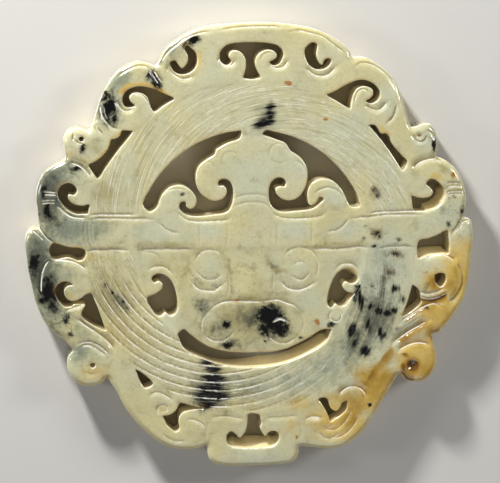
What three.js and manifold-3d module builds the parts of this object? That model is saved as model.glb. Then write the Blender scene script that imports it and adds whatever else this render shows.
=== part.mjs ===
// Openwork jade disc: a roped ring around an animal mask, inside a border of scrolls, wings and bird heads.
// Millimetres, lying on its flat back, +Z up, +Y towards the crown, origin under the middle of its outline.
import * as THREE from "three";
import { mergeVertices } from "three/addons/utils/BufferGeometryUtils.js";
import Module from "manifold-3d";

// Whole disc
const thickness = 9;
const cutChord = 1.4;
const edgeChord = 1.8;
const overcut = 2;
const mergeGap = 1e-4;

// Roped ring
const ringCentre = [0.2, 0];
const ringOuter = 41.4;
const ringInner = 29.3;
const ringInnerBelow = 30.3;
const ringSink = 0.6;
const ringSinkLap = 0.6;
const ringSides = 72;
const ringStepDeg = 10;
const ropeStrands = 24;
const ropeSweepDeg = 86;
const ropeSteps = 7;
const ropeWidth = 0.9;
const ropeDepth = 0.5;

// Band that runs across ring and mask at the brow
const browTop = 8.4;
const browBottom = -0.1;
const browReach = 46;
const browLineGap = 1.1;

// Carved lines
const lineWidth = 0.7;
const lineDepth = 0.45;
const lineEnd = 0.3;
const lineFade = 1;
const lineOver = 0.3;
const lineChord = 2.2;
const arcStepDeg = 24;
const borderInset = 1.3;
const borderChord = 3;

// Small round holes and pits
const eyeHoleRadius = 0.65;
const pitRadius = 1;
const pitDepth = 2.5;
const holeSides = 12;

const jade = new THREE.MeshStandardMaterial({ color: 0xc9c7a2, roughness: 0.3, metalness: 0 });

const wasm = await Module();
wasm.setup();

// Outer edge, anticlockwise from the right of the crown: each run is smooth and ends at a notch
const crown = [[25.2, 47.2], [23.8, 49.5], [20, 52.2], [15.5, 54.2], [10, 55.2], [3.8, 55.7], [-5, 55.4],
  [-12.5, 54.4], [-17.5, 52], [-21, 49.2], [-22.5, 46.5], [-23.6, 45.2]];
const leftShoulder = [[-23.6, 45.2], [-27.5, 46.2], [-30.6, 45.2], [-33, 43.6], [-36.6, 38.4], [-38.2, 34],
  [-40, 29.2]];
const leftHead = [[-40, 29.2], [-43.6, 29.9], [-45.8, 28.5], [-46.4, 26.5], [-46, 24], [-46, 22.1]];
const leftScroll = [[-46, 22.1], [-51, 19], [-52.6, 16.2], [-53.2, 13], [-52.9, 10], [-52.6, 5.2]];
const leftWing = [[-52.6, 5.2], [-54.9, 4.9], [-55.9, 3], [-55.9, -0.5], [-54.5, -9], [-53.2, -14],
  [-51.5, -17.8], [-48.8, -20.9], [-46.2, -22.8], [-44.4, -25.4]];
const leftKnob = [[-44.4, -25.4], [-45.6, -27.1], [-45.8, -29.4], [-44.8, -32], [-42.5, -34], [-40, -34.4],
  [-37.5, -33.8], [-35.9, -32.3]];
const leftFoot = [[-35.9, -32.3], [-33.5, -36], [-31.2, -40.4], [-26.6, -45.9], [-21, -49.9], [-14.8, -50.8],
  [-11.1, -49.9]];
const footBlock = [[-11.1, -49.9], [-10.5, -53.2], [-9.2, -54.4], [-6.2, -55.1], [0, -55.2], [8.2, -54.9],
  [10.8, -54.3], [12, -52.2], [12.2, -50.5]];
const rightFoot = [[12.2, -50.5], [16, -50.8], [20, -51.2], [23.9, -50.3], [27.9, -47.1], [30.7, -43.5],
  [34.7, -36.4], [37.4, -32.4]];
const rightKnob = [[37.4, -32.4], [38.7, -33.6], [41, -34.4], [43.8, -34], [45.8, -32], [46.8, -29.2],
  [46.4, -26.4], [45.6, -22.5]];
const rightWing = [[45.6, -22.5], [47.6, -21.6], [49, -20.2], [51.8, -16.4], [53.4, -13.6], [54.6, -8.5],
  [55.4, -2.5], [55.8, 1.5], [55.6, 4.5], [55.2, 6.3], [53.4, 7.2]];
const rightScroll = [[53.4, 7.2], [53.9, 11.5], [53.6, 14], [52, 18.2], [49.2, 21], [46.2, 22.5]];
const rightHead = [[46.2, 22.5], [46.6, 25.5], [45.9, 28.8], [44.2, 30.7], [42.2, 30], [40, 29.6]];
const rightShoulder = [[40, 29.6], [38.5, 34.2], [37, 38.8], [34.8, 42.5], [31.2, 45.5], [28.5, 47],
  [25.2, 47.2]];
const outerRuns = [crown, leftShoulder, leftHead, leftScroll, leftWing, leftKnob, leftFoot, footBlock,
  rightFoot, rightKnob, rightWing, rightScroll, rightHead, rightShoulder];

// A stretch of the ring's round edge, as points every few degrees
function ringArc(radius, fromDeg, toDeg) {
  const count = Math.max(1, Math.round(Math.abs(toDeg - fromDeg) / ringStepDeg));
  const points = [];
  for (let i = 0; i <= count; i += 1) {
    const angle = THREE.MathUtils.degToRad(fromDeg + ((toDeg - fromDeg) * i) / count);
    points.push([ringCentre[0] + radius * Math.cos(angle), ringCentre[1] + radius * Math.sin(angle)]);
  }
  return points;
}

// Corners of an opening carry a third value, sharp, and the edge is smooth between them
const sharp = true;
const openings = {
  cloudSlot: [[-4.5, 50.6], [4.5, 50.6], [7.2, 49.6], [8, 47.8], [7, 45.6], [5.8, 45], [4.5, 46, sharp],
    [6, 46.8], [6.4, 47.5], [5.2, 48.9], [2.5, 48.5], [1.1, 46.8], [1.1, 45], [2.4, 42.2, sharp],
    [0.2, 41.7], [-2, 42.1, sharp], [-1.3, 45], [-1.6, 47.2], [-3.2, 48.8], [-5.1, 48.6], [-5.6, 47.5],
    [-4.8, 46.2, sharp], [-6, 45.2], [-7.5, 46.2], [-7.8, 48], [-6.5, 49.9]],
  leftComma: [[-15.8, 50.2, sharp], [-13.6, 48.2], [-13.5, 45.2], [-15.2, 43.4], [-17.5, 43], [-19.4, 44.1],
    [-20, 46, sharp], [-18.8, 46.4], [-17.8, 45.2], [-17.1, 44.5, sharp], [-15.8, 45.8], [-15.6, 47.6],
    [-16.5, 49.5]],
  rightComma: [[15.5, 50.8], [16.4, 50.2], [16.1, 48], [16.6, 46.2], [17.6, 45.2, sharp], [18.4, 46.8],
    [19.9, 46.5, sharp], [19.2, 44.9], [17, 44], [14.6, 45], [13.4, 47.2], [13.4, 49.4]],
  leftHook: [[-19, 37, sharp], [-22.5, 38.8], [-25.2, 39.8], [-28, 40.1], [-30.9, 38.9], [-31.8, 36.5],
    [-30.6, 34.8], [-28.6, 35.4, sharp], [-30.1, 36.9], [-29.6, 38.2], [-27.5, 38.5], [-25.6, 37.4],
    [-24.9, 35.2], [-23.9, 33.8, sharp], [-21.5, 35.4]],
  rightHook: [[18.8, 37.8, sharp], [22.5, 35.5], [24.6, 34.3, sharp], [25.1, 36.8], [26.2, 39.2],
    [28.2, 39.9], [30.2, 39], [30.2, 37.5], [28.5, 36.2, sharp], [29.8, 35.6], [31.8, 36.8], [32, 38.6],
    [30, 40.8], [27.2, 41.5], [23.8, 40.4], [21.2, 38.9]],
  leftHeadSlot: [[-29.2, 29.1, sharp], [-31.9, 29.2, sharp], [-32.8, 27.6], [-34.6, 27, sharp],
    [-35.5, 24.6], [-37.5, 22.4], [-40.2, 20.8, sharp], [-39.1, 18.8], [-37.9, 17.4, sharp], [-34.2, 22.6]],
  rightHeadSlot: [[29.4, 30.2, sharp], [30.8, 30.2], [32.4, 28.1, sharp], [34, 28], [35.2, 25.5],
    [39, 21.2, sharp], [37.8, 18.8, sharp], [33.8, 24.8]],
  leftScrollEye: [[-45.2, 16.4], [-43.5, 15.5], [-43.1, 14], [-43.8, 13.4, sharp], [-45.2, 13.5],
    [-45, 12], [-42.5, 10.8], [-40, 11, sharp], [-40.4, 8.8, sharp], [-43.5, 8.7], [-46.2, 10.5],
    [-47.8, 13.5], [-47.2, 15.5]],
  rightScrollEye: [[43.8, 15.5, sharp], [45, 16.8], [47, 15.8], [48.5, 13.8], [48.5, 11.8], [46.8, 9.8],
    [44.2, 8.8], [40.8, 8.8, sharp], [40, 12.5, sharp], [43, 12], [45, 12.5], [45.5, 13.5], [44.5, 14.8]],
  leftFaceGap: [[-2.5, 29, sharp], ...ringArc(ringInner, 102, 152), [-26.8, 10.8], [-25, 9.1], [-23.4, 10.2],
    [-22.2, 13.1], [-20, 15.2], [-17.2, 15.6], [-14.8, 14.2], [-13.5, 11.8], [-14.5, 9.8], [-16, 10.1, sharp],
    [-16.5, 11.7], [-17.9, 10.8], [-17, 8.8], [-14.5, 7.9], [-8.8, 8.3], [-5.8, 9], [-4.6, 11.5],
    [-4.6, 15.2], [-6.2, 17.1], [-8.1, 16.5], [-8.1, 15.4, sharp], [-6.8, 15.4], [-6, 14], [-7.2, 12.1],
    [-9.8, 11.8], [-12.5, 13.5], [-13.7, 16.5], [-13.2, 19.9], [-11, 22], [-9.2, 23], [-8.6, 24.4, sharp],
    [-6.5, 25.7], [-2.8, 27.2, sharp]],
  rightFaceGap: [[3.8, 29.1, sharp], [2.8, 28.2, sharp], [6.2, 26.8], [8.5, 25.9], [9.8, 24, sharp],
    [12.5, 22.1], [14, 19.2], [13.6, 15.2], [11.5, 12.2], [8.8, 11.7], [6.5, 13], [6.2, 15],
    [8.4, 15.1, sharp], [8.6, 16.5], [6.8, 17.4], [4.9, 16], [4.4, 13.2], [5, 10.5], [7, 8.9], [11.2, 9],
    [15.5, 9.6], [18.2, 11.9, sharp], [17.1, 12.4], [16.1, 10.8], [14.5, 10.5, sharp], [14, 12.8],
    [14.8, 15.5], [17, 16.9], [20, 16.6], [22.5, 14.4], [24.2, 11], [25.2, 9.8], [27.2, 10.2, sharp],
    ...ringArc(ringInner, 26, 80)],
  leftWingSlot: [[-49.2, 1.4], [-45.5, 0.6], [-41.4, -0.1], [-41, -1.5], [-42.2, -3], [-45.2, -2.1],
    [-49, -2.5], [-50, -0.5]],
  rightWingSlot: [[42, 1.2, sharp], [45.5, 2.2], [49.2, 3.8, sharp], [49.8, 0], [49.6, -2.2, sharp],
    [47, -2.3], [44.5, -2.6], [42, -3.2, sharp]],
  leftWingHook: [[-47.5, -8.4], [-45.8, -8], [-44.2, -8.9, sharp], [-46, -9.4], [-46.5, -10.8],
    [-45.2, -12.8], [-42.8, -12.6], [-40.4, -10.9], [-39.8, -11, sharp], [-38.2, -14.6], [-36.2, -20.4, sharp],
    [-39.2, -19.2], [-42.2, -16.5], [-41.2, -13.9, sharp], [-43.5, -13.7], [-45.8, -14.6], [-48, -12.5],
    [-48.6, -10]],
  rightWingGap: [[40.5, -9.8, sharp], [42.2, -11.2], [42.8, -14.4, sharp], [38, -17.8, sharp],
    [39.5, -13.2]],
  rightWingEye: [[46.2, -7.3], [48.4, -7], [48.9, -8.6], [47.8, -10.4], [46.4, -9.4]],
  leftFootGap: [[-28.8, -30.3, sharp], [-27.6, -33.6], [-26.2, -35.2], [-24.5, -33.9, sharp]],
  leftCheek: [[-24.8, -7.9], [-23.8, -6.5], [-22, -6.5], [-19.9, -8.2], [-18.5, -12.2], [-18.6, -16],
    [-20, -17], [-21.4, -16.1, sharp], [-23, -17.1], [-25.8, -13.4], [-25.9, -12.1, sharp], [-23.5, -11.2],
    [-21.9, -9.5], [-22.8, -8.2], [-24, -8.7]],
  rightCheek: [[26.8, -8.2], [26.2, -6.2], [24, -5.4], [21.5, -6.8], [19.8, -10.2], [19.1, -14],
    [19.9, -15.6], [21.1, -14.4, sharp], [22.8, -15.2], [26, -11.8, sharp], [24, -11.4], [22.9, -10],
    [23.5, -8.9], [25.5, -9.5]],
  chinGap: [[-16.8, -20.4, sharp], [-11.2, -24.5], [-5.9, -26.1], [1.8, -26.4], [7.5, -25.9], [13.2, -23.6],
    [18, -20.8], [20.2, -20.8, sharp], ...ringArc(ringInnerBelow, 308, 236), [-18.3, -21.6, sharp]],
  footSlot: [[-0.8, -42, sharp], [2, -42.2, sharp], [2.6, -44.2], [2.2, -45.6], [3.5, -47.6, sharp], [5, -46.4],
    [6.6, -46.6], [7.1, -48], [6, -50], [3, -50.6], [-2.5, -50.6], [-5.5, -49.9], [-6.2, -47.8],
    [-5.4, -46.3], [-3.9, -47], [-2.9, -48, sharp], [-1.5, -46.5], [-0.9, -43.8]],
  leftFootCurl: [[-22.1, -42.2, sharp], [-20.2, -41.8], [-18.9, -40.8], [-17.8, -38.9, sharp], [-15, -39.6],
    [-11.8, -40.5, sharp], [-15.5, -40.8], [-17.5, -41.6], [-18.2, -43.5], [-18, -45.5], [-18.9, -46.2, sharp],
    [-20.8, -44.8]],
  rightFootCurl: [[17, -38.5, sharp], [19, -38.1], [20.1, -40.9], [21.8, -41.5], [23, -39.5],
    [24.2, -39, sharp], [24, -41.2], [22, -43], [20, -44.2, sharp], [19.1, -42], [18, -40]],
};
const rightFootPocket = [[31.4, -27.6, sharp], [30.2, -31], [27.6, -35.4, sharp], [26, -35, sharp],
  [28.6, -30.6]];
const eyeHoles = [[-41.9, 27.2], [-39.5, -29.1]];
const eyePits = [[41.8, 27.8], [40.9, -30.4]];

// Rings and arcs cut into the face: centre, radius, first and last angle in degrees
const carvedArcs = {
  leftEye: [[-10.2, -4.5], 3.6, 60, 400],
  rightEye: [[12, -5.6], 4.6, 60, 400],
  rightPupil: [[12, -5.6], 2.2, 60, 400],
  underLeftEye: [[-9.4, -3.6], 7.2, 222, 318],
  underRightEye: [[12, -4.2], 6.5, 215, 325],
  leftNostril: [[-8.2, -20.4], 3.4, 150, 400],
  rightNostril: [[8.2, -20], 3.6, 140, 390],
  upperForehead: [[0.4, 6], 7.4, 55, 125],
  lowerForehead: [[0.4, 4], 7.2, 55, 125],
  leftCrest: [[-5.2, 21.8], 2, 60, 400],
  rightCrest: [[7.2, 23], 2.4, 60, 400],
  leftKnobRing: [[-39.5, -29.1], 3, 100, 360],
  rightKnobRing: [[41.2, -29.4], 3.4, 180, 440],
  leftHeadRing: [[-41.9, 27.2], 1.7, 60, 400],
  rightHeadRing: [[41.8, 27.8], 1.9, 60, 400],
};

// Straight cuts, corner to corner
const carvedStraights = {
  browLine: [[-browReach, browTop - browLineGap], [browReach, browTop - browLineGap]],
  browFootLeft: [[-40, browBottom], [-14, browBottom]],
  browFootRight: [[16, browBottom], [40, browBottom]],
  noseLeft: [[-5.2, -6], [-5.2, -12.6]],
  noseRight: [[5.6, -6], [5.6, -12.6]],
  leftBrowPanel: [[-12.7, 6.2], [-5.9, 6.2], [-5.9, 0.1], [-12.7, 0.1]],
  rightBrowPanel: [[15.3, 6.2], [6.7, 6.2], [6.7, 0.1], [15.3, 0.1]],
  leftScrollBandUpper: [[-51.4, 14], [-48.4, 14]],
  leftScrollBandLower: [[-51.2, 12], [-48.4, 12]],
  rightScrollBandUpper: [[48.4, 15.4], [52, 15.4]],
  rightScrollBandLower: [[49.2, 13.4], [52.2, 13.4]],
};

// Flowing cuts, smooth through their points
const carvedCurves = {
  muzzle: [[-11.6, -16], [-8.5, -14.2], [-3.5, -13.6], [7.5, -13.6], [10.5, -14.4], [12.9, -16.2]],
  leftEar: [[-23.5, 6.2], [-20.5, 3.6], [-17.2, 3.8]],
  rightEar: [[23.5, 6.2], [21, 3.6], [18, 3.8]],
  leftCommaRim: [[-20.8, 45.6], [-20.2, 43.4], [-17.8, 41.8], [-14.2, 42.2]],
  rightCommaRim: [[13, 44.4], [15, 42.8], [18, 42.2], [21.2, 44.6]],
  leftHookRim: [[-33.2, 36.8], [-32.6, 34.8], [-30.6, 33.6], [-28.6, 34]],
  rightHookRim: [[28.2, 35], [30.4, 33.8], [32.8, 34.4], [33.8, 36.4]],
  leftLobe: [[-37, 35.4], [-36.8, 33], [-35.2, 30.6], [-33, 30.2]],
  leftScrollEdge: [[-44.8, 21.2], [-42.4, 20], [-40.6, 18]],
  rightScrollEdge: [[40.8, 19], [43, 20.8], [45.6, 21]],
  leftWingEdge: [[-51, -3.6], [-52, -6.4], [-52.2, -11]],
  leftStem: [[-43.6, -17.6], [-39, -21.2], [-35.4, -24.4]],
  rightStem: [[36.4, -24.4], [40.6, -21.6], [44.6, -19]],
  leftKnobEdge: [[-43, -24.2], [-40.2, -23.6], [-37.2, -25], [-35.6, -27]],
  rightKnobEdge: [[37, -27], [39.4, -25.4], [42.2, -24.8], [45, -25.4]],
  footTopLeft: [[-10, -43], [-6.2, -42.8], [-2.6, -43.3]],
  footTopRight: [[4, -43.4], [8.4, -43], [12, -42.8]],
};

// Points along a smooth curve, no further apart than the chord
function alongCurve(points, chord, closed = false) {
  const curve = new THREE.CatmullRomCurve3(
    points.map(([x, y]) => new THREE.Vector3(x, y, 0)), closed, "centripetal");
  const steps = Math.max(2, Math.ceil(curve.getLength() / chord));
  const made = curve.getSpacedPoints(steps);
  return made.map((p) => [p.x, p.y]);
}

// A closed edge that is smooth but for its sharp corners
function smoothLoop(points, chord) {
  const firstCorner = points.findIndex((p) => p[2]);
  if (firstCorner < 0) {
    return alongCurve(points, chord, true).slice(0, -1);
  }
  const turned = [...points.slice(firstCorner), ...points.slice(0, firstCorner), points[firstCorner]];
  const edge = [];
  let run = [turned[0]];
  for (const point of turned.slice(1)) {
    run.push(point);
    if (point[2]) {
      edge.push(...alongCurve(run, chord).slice(0, -1));
      run = [point];
    }
  }
  return edge;
}

function solidFrom(geometry) {
  const bare = geometry.clone();
  bare.deleteAttribute("normal");
  bare.deleteAttribute("uv");
  const merged = mergeVertices(bare, mergeGap);
  return new wasm.Manifold(new wasm.Mesh({
    numProp: 3,
    vertProperties: merged.attributes.position.array,
    triVerts: new Uint32Array(merged.index.array),
  }));
}

// Upright block with the given edge, between two heights
function block(edge, low, high) {
  const shape = new THREE.Shape(edge.map(([x, y]) => new THREE.Vector2(x, y)));
  const geometry = new THREE.ExtrudeGeometry(shape, { depth: high - low, bevelEnabled: false });
  geometry.translate(0, 0, low);
  return solidFrom(geometry);
}

function circle([x, y], radius, sides) {
  const edge = [];
  for (let i = 0; i < sides; i += 1) {
    const angle = (2 * Math.PI * i) / sides;
    edge.push([x + radius * Math.cos(angle), y + radius * Math.sin(angle)]);
  }
  return edge;
}

function arc([x, y], radius, fromDeg, toDeg) {
  const steps = Math.round((toDeg - fromDeg) / arcStepDeg);
  const points = [];
  for (let i = 0; i <= steps; i += 1) {
    const angle = THREE.MathUtils.degToRad(fromDeg + ((toDeg - fromDeg) * i) / steps);
    points.push([x + radius * Math.cos(angle), y + radius * Math.sin(angle)]);
  }
  return points;
}

// V-shaped graver's cut along a path, fading out at both ends
function vCut(path, surface, width, depth) {
  const corners = [];
  path.forEach(([x, y], i) => {
    const before = path[Math.max(0, i - 1)];
    const after = path[Math.min(path.length - 1, i + 1)];
    const length = Math.hypot(after[0] - before[0], after[1] - before[1]);
    const side = [-(after[1] - before[1]) / length, (after[0] - before[0]) / length];
    const strength = i === 0 || i === path.length - 1 ? lineEnd : 1;
    const half = ((width / 2) * strength * (depth * strength + lineOver)) / (depth * strength);
    corners.push([x + side[0] * half, y + side[1] * half, surface + lineOver]);
    corners.push([x - side[0] * half, y - side[1] * half, surface + lineOver]);
    corners.push([x, y, surface - depth * strength]);
  });
  const faces = [0, 2, 1];
  const last = corners.length - 3;
  faces.push(last, last + 1, last + 2);
  for (let i = 0; i < last; i += 3) {
    for (let k = 0; k < 3; k += 1) {
      const next = (k + 1) % 3;
      faces.push(i + k, i + 3 + next, i + 3 + k);
      faces.push(i + k, i + next, i + 3 + next);
    }
  }
  const geometry = new THREE.BufferGeometry();
  geometry.setAttribute("position", new THREE.Float32BufferAttribute(corners.flat(), 3));
  geometry.setIndex(faces);
  return solidFrom(geometry);
}

// Straight corners with a short run at each end, where the cut fades out
function fadedEnds(corners) {
  const runFrom = ([x, y], [nextX, nextY]) => {
    const share = lineFade / Math.hypot(nextX - x, nextY - y);
    return [x + (nextX - x) * share, y + (nextY - y) * share];
  };
  const first = runFrom(corners[0], corners[1]);
  const last = runFrom(corners.at(-1), corners.at(-2));
  return [corners[0], first, ...corners.slice(1, -1), last, corners.at(-1)];
}

// The same path moved inwards from an edge that runs anticlockwise
function inset(path, distance) {
  return path.map(([x, y], i) => {
    const before = path[Math.max(0, i - 1)];
    const after = path[Math.min(path.length - 1, i + 1)];
    const length = Math.hypot(after[0] - before[0], after[1] - before[1]);
    return [x - ((after[1] - before[1]) / length) * distance, y + ((after[0] - before[0]) / length) * distance];
  });
}

// Sunken ring with its twisted strands, broken by the brow band
function ringCut() {
  const top = thickness - ringSink;
  let cut = block(circle(ringCentre, ringOuter, ringSides), top, thickness + overcut)
    .subtract(block(circle(ringCentre, ringInner - ringSinkLap, ringSides), 0, thickness + 2 * overcut));
  for (let strand = 0; strand < ropeStrands; strand += 1) {
    const path = [];
    for (let i = 0; i <= ropeSteps; i += 1) {
      const share = i / ropeSteps;
      const angle = THREE.MathUtils.degToRad((360 * strand) / ropeStrands + ropeSweepDeg * share);
      const radius = ringOuter + (ringInner - ringOuter) * share;
      path.push([ringCentre[0] + radius * Math.cos(angle), ringCentre[1] + radius * Math.sin(angle)]);
    }
    cut = cut.add(vCut(path, top, ropeWidth, ropeDepth));
  }
  const band = [[-browReach, browBottom], [browReach, browBottom], [browReach, browTop], [-browReach, browTop]];
  return cut.subtract(block(band, 0, thickness + 2 * overcut));
}

// Carved lines of the mask, the band and the border
function carvedLines() {
  const paths = [
    ...Object.values(carvedArcs).map((values) => arc(...values)),
    ...Object.values(carvedStraights).map(fadedEnds),
    ...Object.values(carvedCurves).map((points) => alongCurve(points, lineChord)),
  ];
  for (const run of [crown, leftShoulder, rightShoulder, leftWing, rightWing]) {
    paths.push(inset(alongCurve(run, borderChord), borderInset).slice(1, -1));
  }
  return paths.map((path) => vCut(path, thickness, lineWidth, lineDepth));
}

function discSolid() {
  const edge = outerRuns.flatMap((run) => alongCurve(run, edgeChord).slice(0, -1));
  let solid = block(edge, 0, thickness);
  for (const opening of Object.values(openings)) {
    solid = solid.subtract(block(smoothLoop(opening, cutChord), -overcut, thickness + overcut));
  }
  for (const hole of eyeHoles) {
    solid = solid.subtract(block(circle(hole, eyeHoleRadius, holeSides), -overcut, thickness + overcut));
  }
  for (const pit of eyePits) {
    solid = solid.subtract(block(circle(pit, pitRadius, holeSides), thickness - pitDepth, thickness + overcut));
  }
  const pocket = smoothLoop(rightFootPocket, cutChord);
  solid = solid.subtract(block(pocket, thickness - pitDepth, thickness + overcut));
  solid = solid.subtract(ringCut());
  for (const line of carvedLines()) {
    solid = solid.subtract(line);
  }
  return solid;
}

function meshFrom(solid, name, material) {
  const { vertProperties, triVerts } = solid.getMesh();
  const geometry = new THREE.BufferGeometry();
  geometry.setAttribute("position", new THREE.Float32BufferAttribute(vertProperties, 3));
  geometry.setIndex(new THREE.Uint32BufferAttribute(triVerts, 1));
  geometry.computeBoundingBox();
  const middle = geometry.boundingBox.getCenter(new THREE.Vector3());
  geometry.translate(-middle.x, -middle.y, 0);
  geometry.computeVertexNormals();
  const mesh = new THREE.Mesh(geometry, material);
  mesh.name = name;
  return mesh;
}

const group = new THREE.Group();
group.add(meshFrom(discSolid(), "jade_disc", jade));

export default group;
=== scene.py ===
import math
import bpy
import numpy as np
from mathutils import Matrix, Vector, kdtree
from mathutils.geometry import delaunay_2d_cdt


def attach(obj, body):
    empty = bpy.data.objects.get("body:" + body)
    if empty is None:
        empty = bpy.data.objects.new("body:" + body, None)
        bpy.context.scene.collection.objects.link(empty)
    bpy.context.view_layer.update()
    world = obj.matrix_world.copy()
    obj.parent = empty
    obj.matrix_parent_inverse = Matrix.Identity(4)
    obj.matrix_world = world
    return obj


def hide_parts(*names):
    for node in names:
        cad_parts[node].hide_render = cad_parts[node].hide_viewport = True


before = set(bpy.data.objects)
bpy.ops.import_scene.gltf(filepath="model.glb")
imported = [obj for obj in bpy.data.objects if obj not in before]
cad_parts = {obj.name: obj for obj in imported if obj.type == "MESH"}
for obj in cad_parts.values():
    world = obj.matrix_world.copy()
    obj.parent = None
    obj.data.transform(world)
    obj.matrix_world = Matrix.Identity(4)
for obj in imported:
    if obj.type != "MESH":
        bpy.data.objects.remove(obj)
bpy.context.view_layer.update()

# Lengths below are millimetres in the part's own frame, x right, y to the crown, z out of the carved face.
# Drawn lines are laid out on a sheet of quarter millimetre squares, counted from its top left corner.
perMetre = 1000   # millimetres in a metre
drawingSheet = {"middle": (249.7, 245.2), "square": 0.25}


def onDisc(points):
    sheet = np.array(points, float) - drawingSheet["middle"]
    return sheet * (drawingSheet["square"], -drawingSheet["square"])


discForm = {
    "node": "jade_disc",
    "thickness": 9.0,
    "outlineHeight": 4.5,      # the solid's openings are sawn straight, so any height would do
    "straight": 0.004,         # outline points that turn by less than this are left out
    "rimStep": 0.42,
    "smallStep": 0.3,          # for openings that are drawn with few points
    "fewPoints": 16,
    "rimRows": (0.14, 0.32, 0.55, 0.85, 1.25, 1.75),
    "rowRoom": 0.88,           # a row stops where another edge is nearer than this share of its distance
    "cutRoom": 0.12,           # how near to an edge the points along cut lines may come
    "fillStep": 0.6,
    "fillRoom": 0.35,
    "rowStep": 0.87,           # spacing of the filling's rows, as a share of the step along them
    "cell": 0.16,              # of two points in one cell the first is kept
    "merge": 1e-7,             # points nearer than this are one
    "leastArea": 1e-9,
    "backRows": (0.2, 0.5),
    "backFill": 3.0,
    "backRoom": 0.7,
    "backCell": 0.3,
    "outerFall": (0.85, 1.6, 2.2),   # how far an edge is worn down, over what width and how steeply
    "openingFall": (0.2, 0.32, 2),
    "backFall": (0.4, 0.6, 2),
    "wallRows": (0.22, 0.55),  # how far the sawn wall starts below the face and above the back
    "litFrom": (-0.4, 0.92),   # the side whose edges get the brightest painted highlight
}

ropeRing = {
    "middle": (0.28, -0.23),
    "outer": 41.4,
    "inner": 29.3,
    "outerSoft": (-0.35, 0.15),      # how the ring ends at its edges
    "innerSoft": (-0.4, 0.1),
    "sunk": (0.1, 0.22),       # where the strands are worn, and where they are crisp
    "strands": 24,
    "sweep": 86.0,             # how far round a strand runs from the outer edge to the inner one
    "step": 0.13,              # each strand rises over the next one by this much
    "stepRun": 0.2,
    "cut": 0.1,
    "wide": 0.15,
    "points": 119,             # mesh points along a strand, in rows counted in half widths
    "rows": (0, -0.6, 0.6, -1.3, 1.3),
    "share": 0.05,             # the least share of ring that gets such points
    "crisp": (184, 204, 258, 318),   # angles between which the strands come up and die away
    "worn": 0.05,
    "shine": (0.8, 0.17),      # painted highlight along a strand: strength and half width
    "shade": (0.4, 0.28),      # how far off its painted shade lies, and the half width
}

browBand = {
    "top": 8.2,
    "bottom": -0.4,
    "reach": 45.0,
    "soft": 0.35,
}
# second outline above the band, cut shallow, with a painted highlight along it
crestLine = {"from": (16, 19), "gap": 0.85, "wide": 0.16, "inside": 1, "cut": 0.08, "shine": 0.45}

# the animal face lies a little lower than the band round it
maskFace = {"middle": 0.3, "edge": (27.5, 29.0), "sunk": 0.3, "brow": (-1.0, 0.0), "browShare": 0.4}

# Some openings are sawn at a slant, so one of their walls shows: box left, right, low and high, the wall's
# side, how far its foot stands out at places from left to right, and what stays open.
slantedWalls = {
    "chinSlit": ((-19.5, 19.5, -32.5, -19.0), (0, -1),
                 ((-12, -6, -2, 2.3, 15), (0, 0.4, 1.2, 1.9, 2.4)), 1.9),
    "footSlot": ((-7.5, 8.5, -52.0, -42.0), (0, -1), ((-7, 8), (1.9, 1.9)), 1.4),
    "rightScroll": ((39.0, 50.0, 8.5, 19.0), (0.75, -0.66), ((40, 42), (0.6, 1.3)), 0.9),
    "rightGap": ((41.0, 50.0, -4.5, 4.5), (0, -1), ((42, 44, 48), (1.0, 1.5, 1.3)), 1.2),
    "rightCheek": ((19.0, 28.0, -9.5, -4.0), (0.7, 0.7), ((20, 23), (0, 1.6)), 0.8),
}
# how squarely an edge has to face that side, and the painted glow in such a wall per millimetre of slant
slantLook = {"turn": 0.3, "light": 0.4}

carvedLine = {
    "step": 0.3,               # spacing of the points along a line
    "rows": (0, -0.55, 0.55, -1.2, 1.2),   # rows of mesh points beside it, in half widths
    "ends": 0.16,              # share of its length over which a line fades in and out
    "endCut": 0.35,            # share of its depth that is left at the ends
    "reach": 2.2,              # how far a carved slope runs away from its line
    "fall": 1.7,
    "curve": 1.5,
    "lip": 0.2,                # how far the slope comes over to the right hand side
    "floor": 0.25,             # half width of the line's own floor in the slope
    "fullCut": 0.24,           # a cut this deep takes the full painted highlight
    "shine": 0.17,             # half width of the painted highlight
    "shade": (0.36, 0.24),     # how far off the painted shade lies, and the half width
}

# each line: depth of the cut, half width, how far the left hand side falls away, then the points on the sheet
crownLines = [
    (0.24, 0.3, 0, [(160, 66), (165, 57), (170, 51), (177, 45), (183, 40), (190, 37), (200, 34),
        (213, 31.5)]),
    (0.22, 0.28, 0, [(218, 31), (234, 29), (250, 28), (267, 27.8), (283, 28.5)]),
    (0.22, 0.3, 0, [(288, 33), (295, 31.5), (310, 34.5), (320, 37.5), (328, 43), (340, 52), (345, 55)]),
    (0.3, 0.35, 0.35, [(168, 62), (169, 70), (174, 75), (181, 79), (188, 79), (194, 75.5)]),
    (0.3, 0.35, 0.35, [(303, 67), (310, 74), (318, 77), (326, 76), (332, 71), (336, 66)]),
    (0.28, 0.32, 0.3, [(217, 56), (220, 63), (226, 67), (232, 65), (236, 60)]),
    (0.28, 0.32, 0.3, [(267, 65), (275, 69), (283, 67), (288, 60)]),
    (0.15, 0.3, 0, [(260, 60), (263, 55), (270, 53)]),
]
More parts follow.
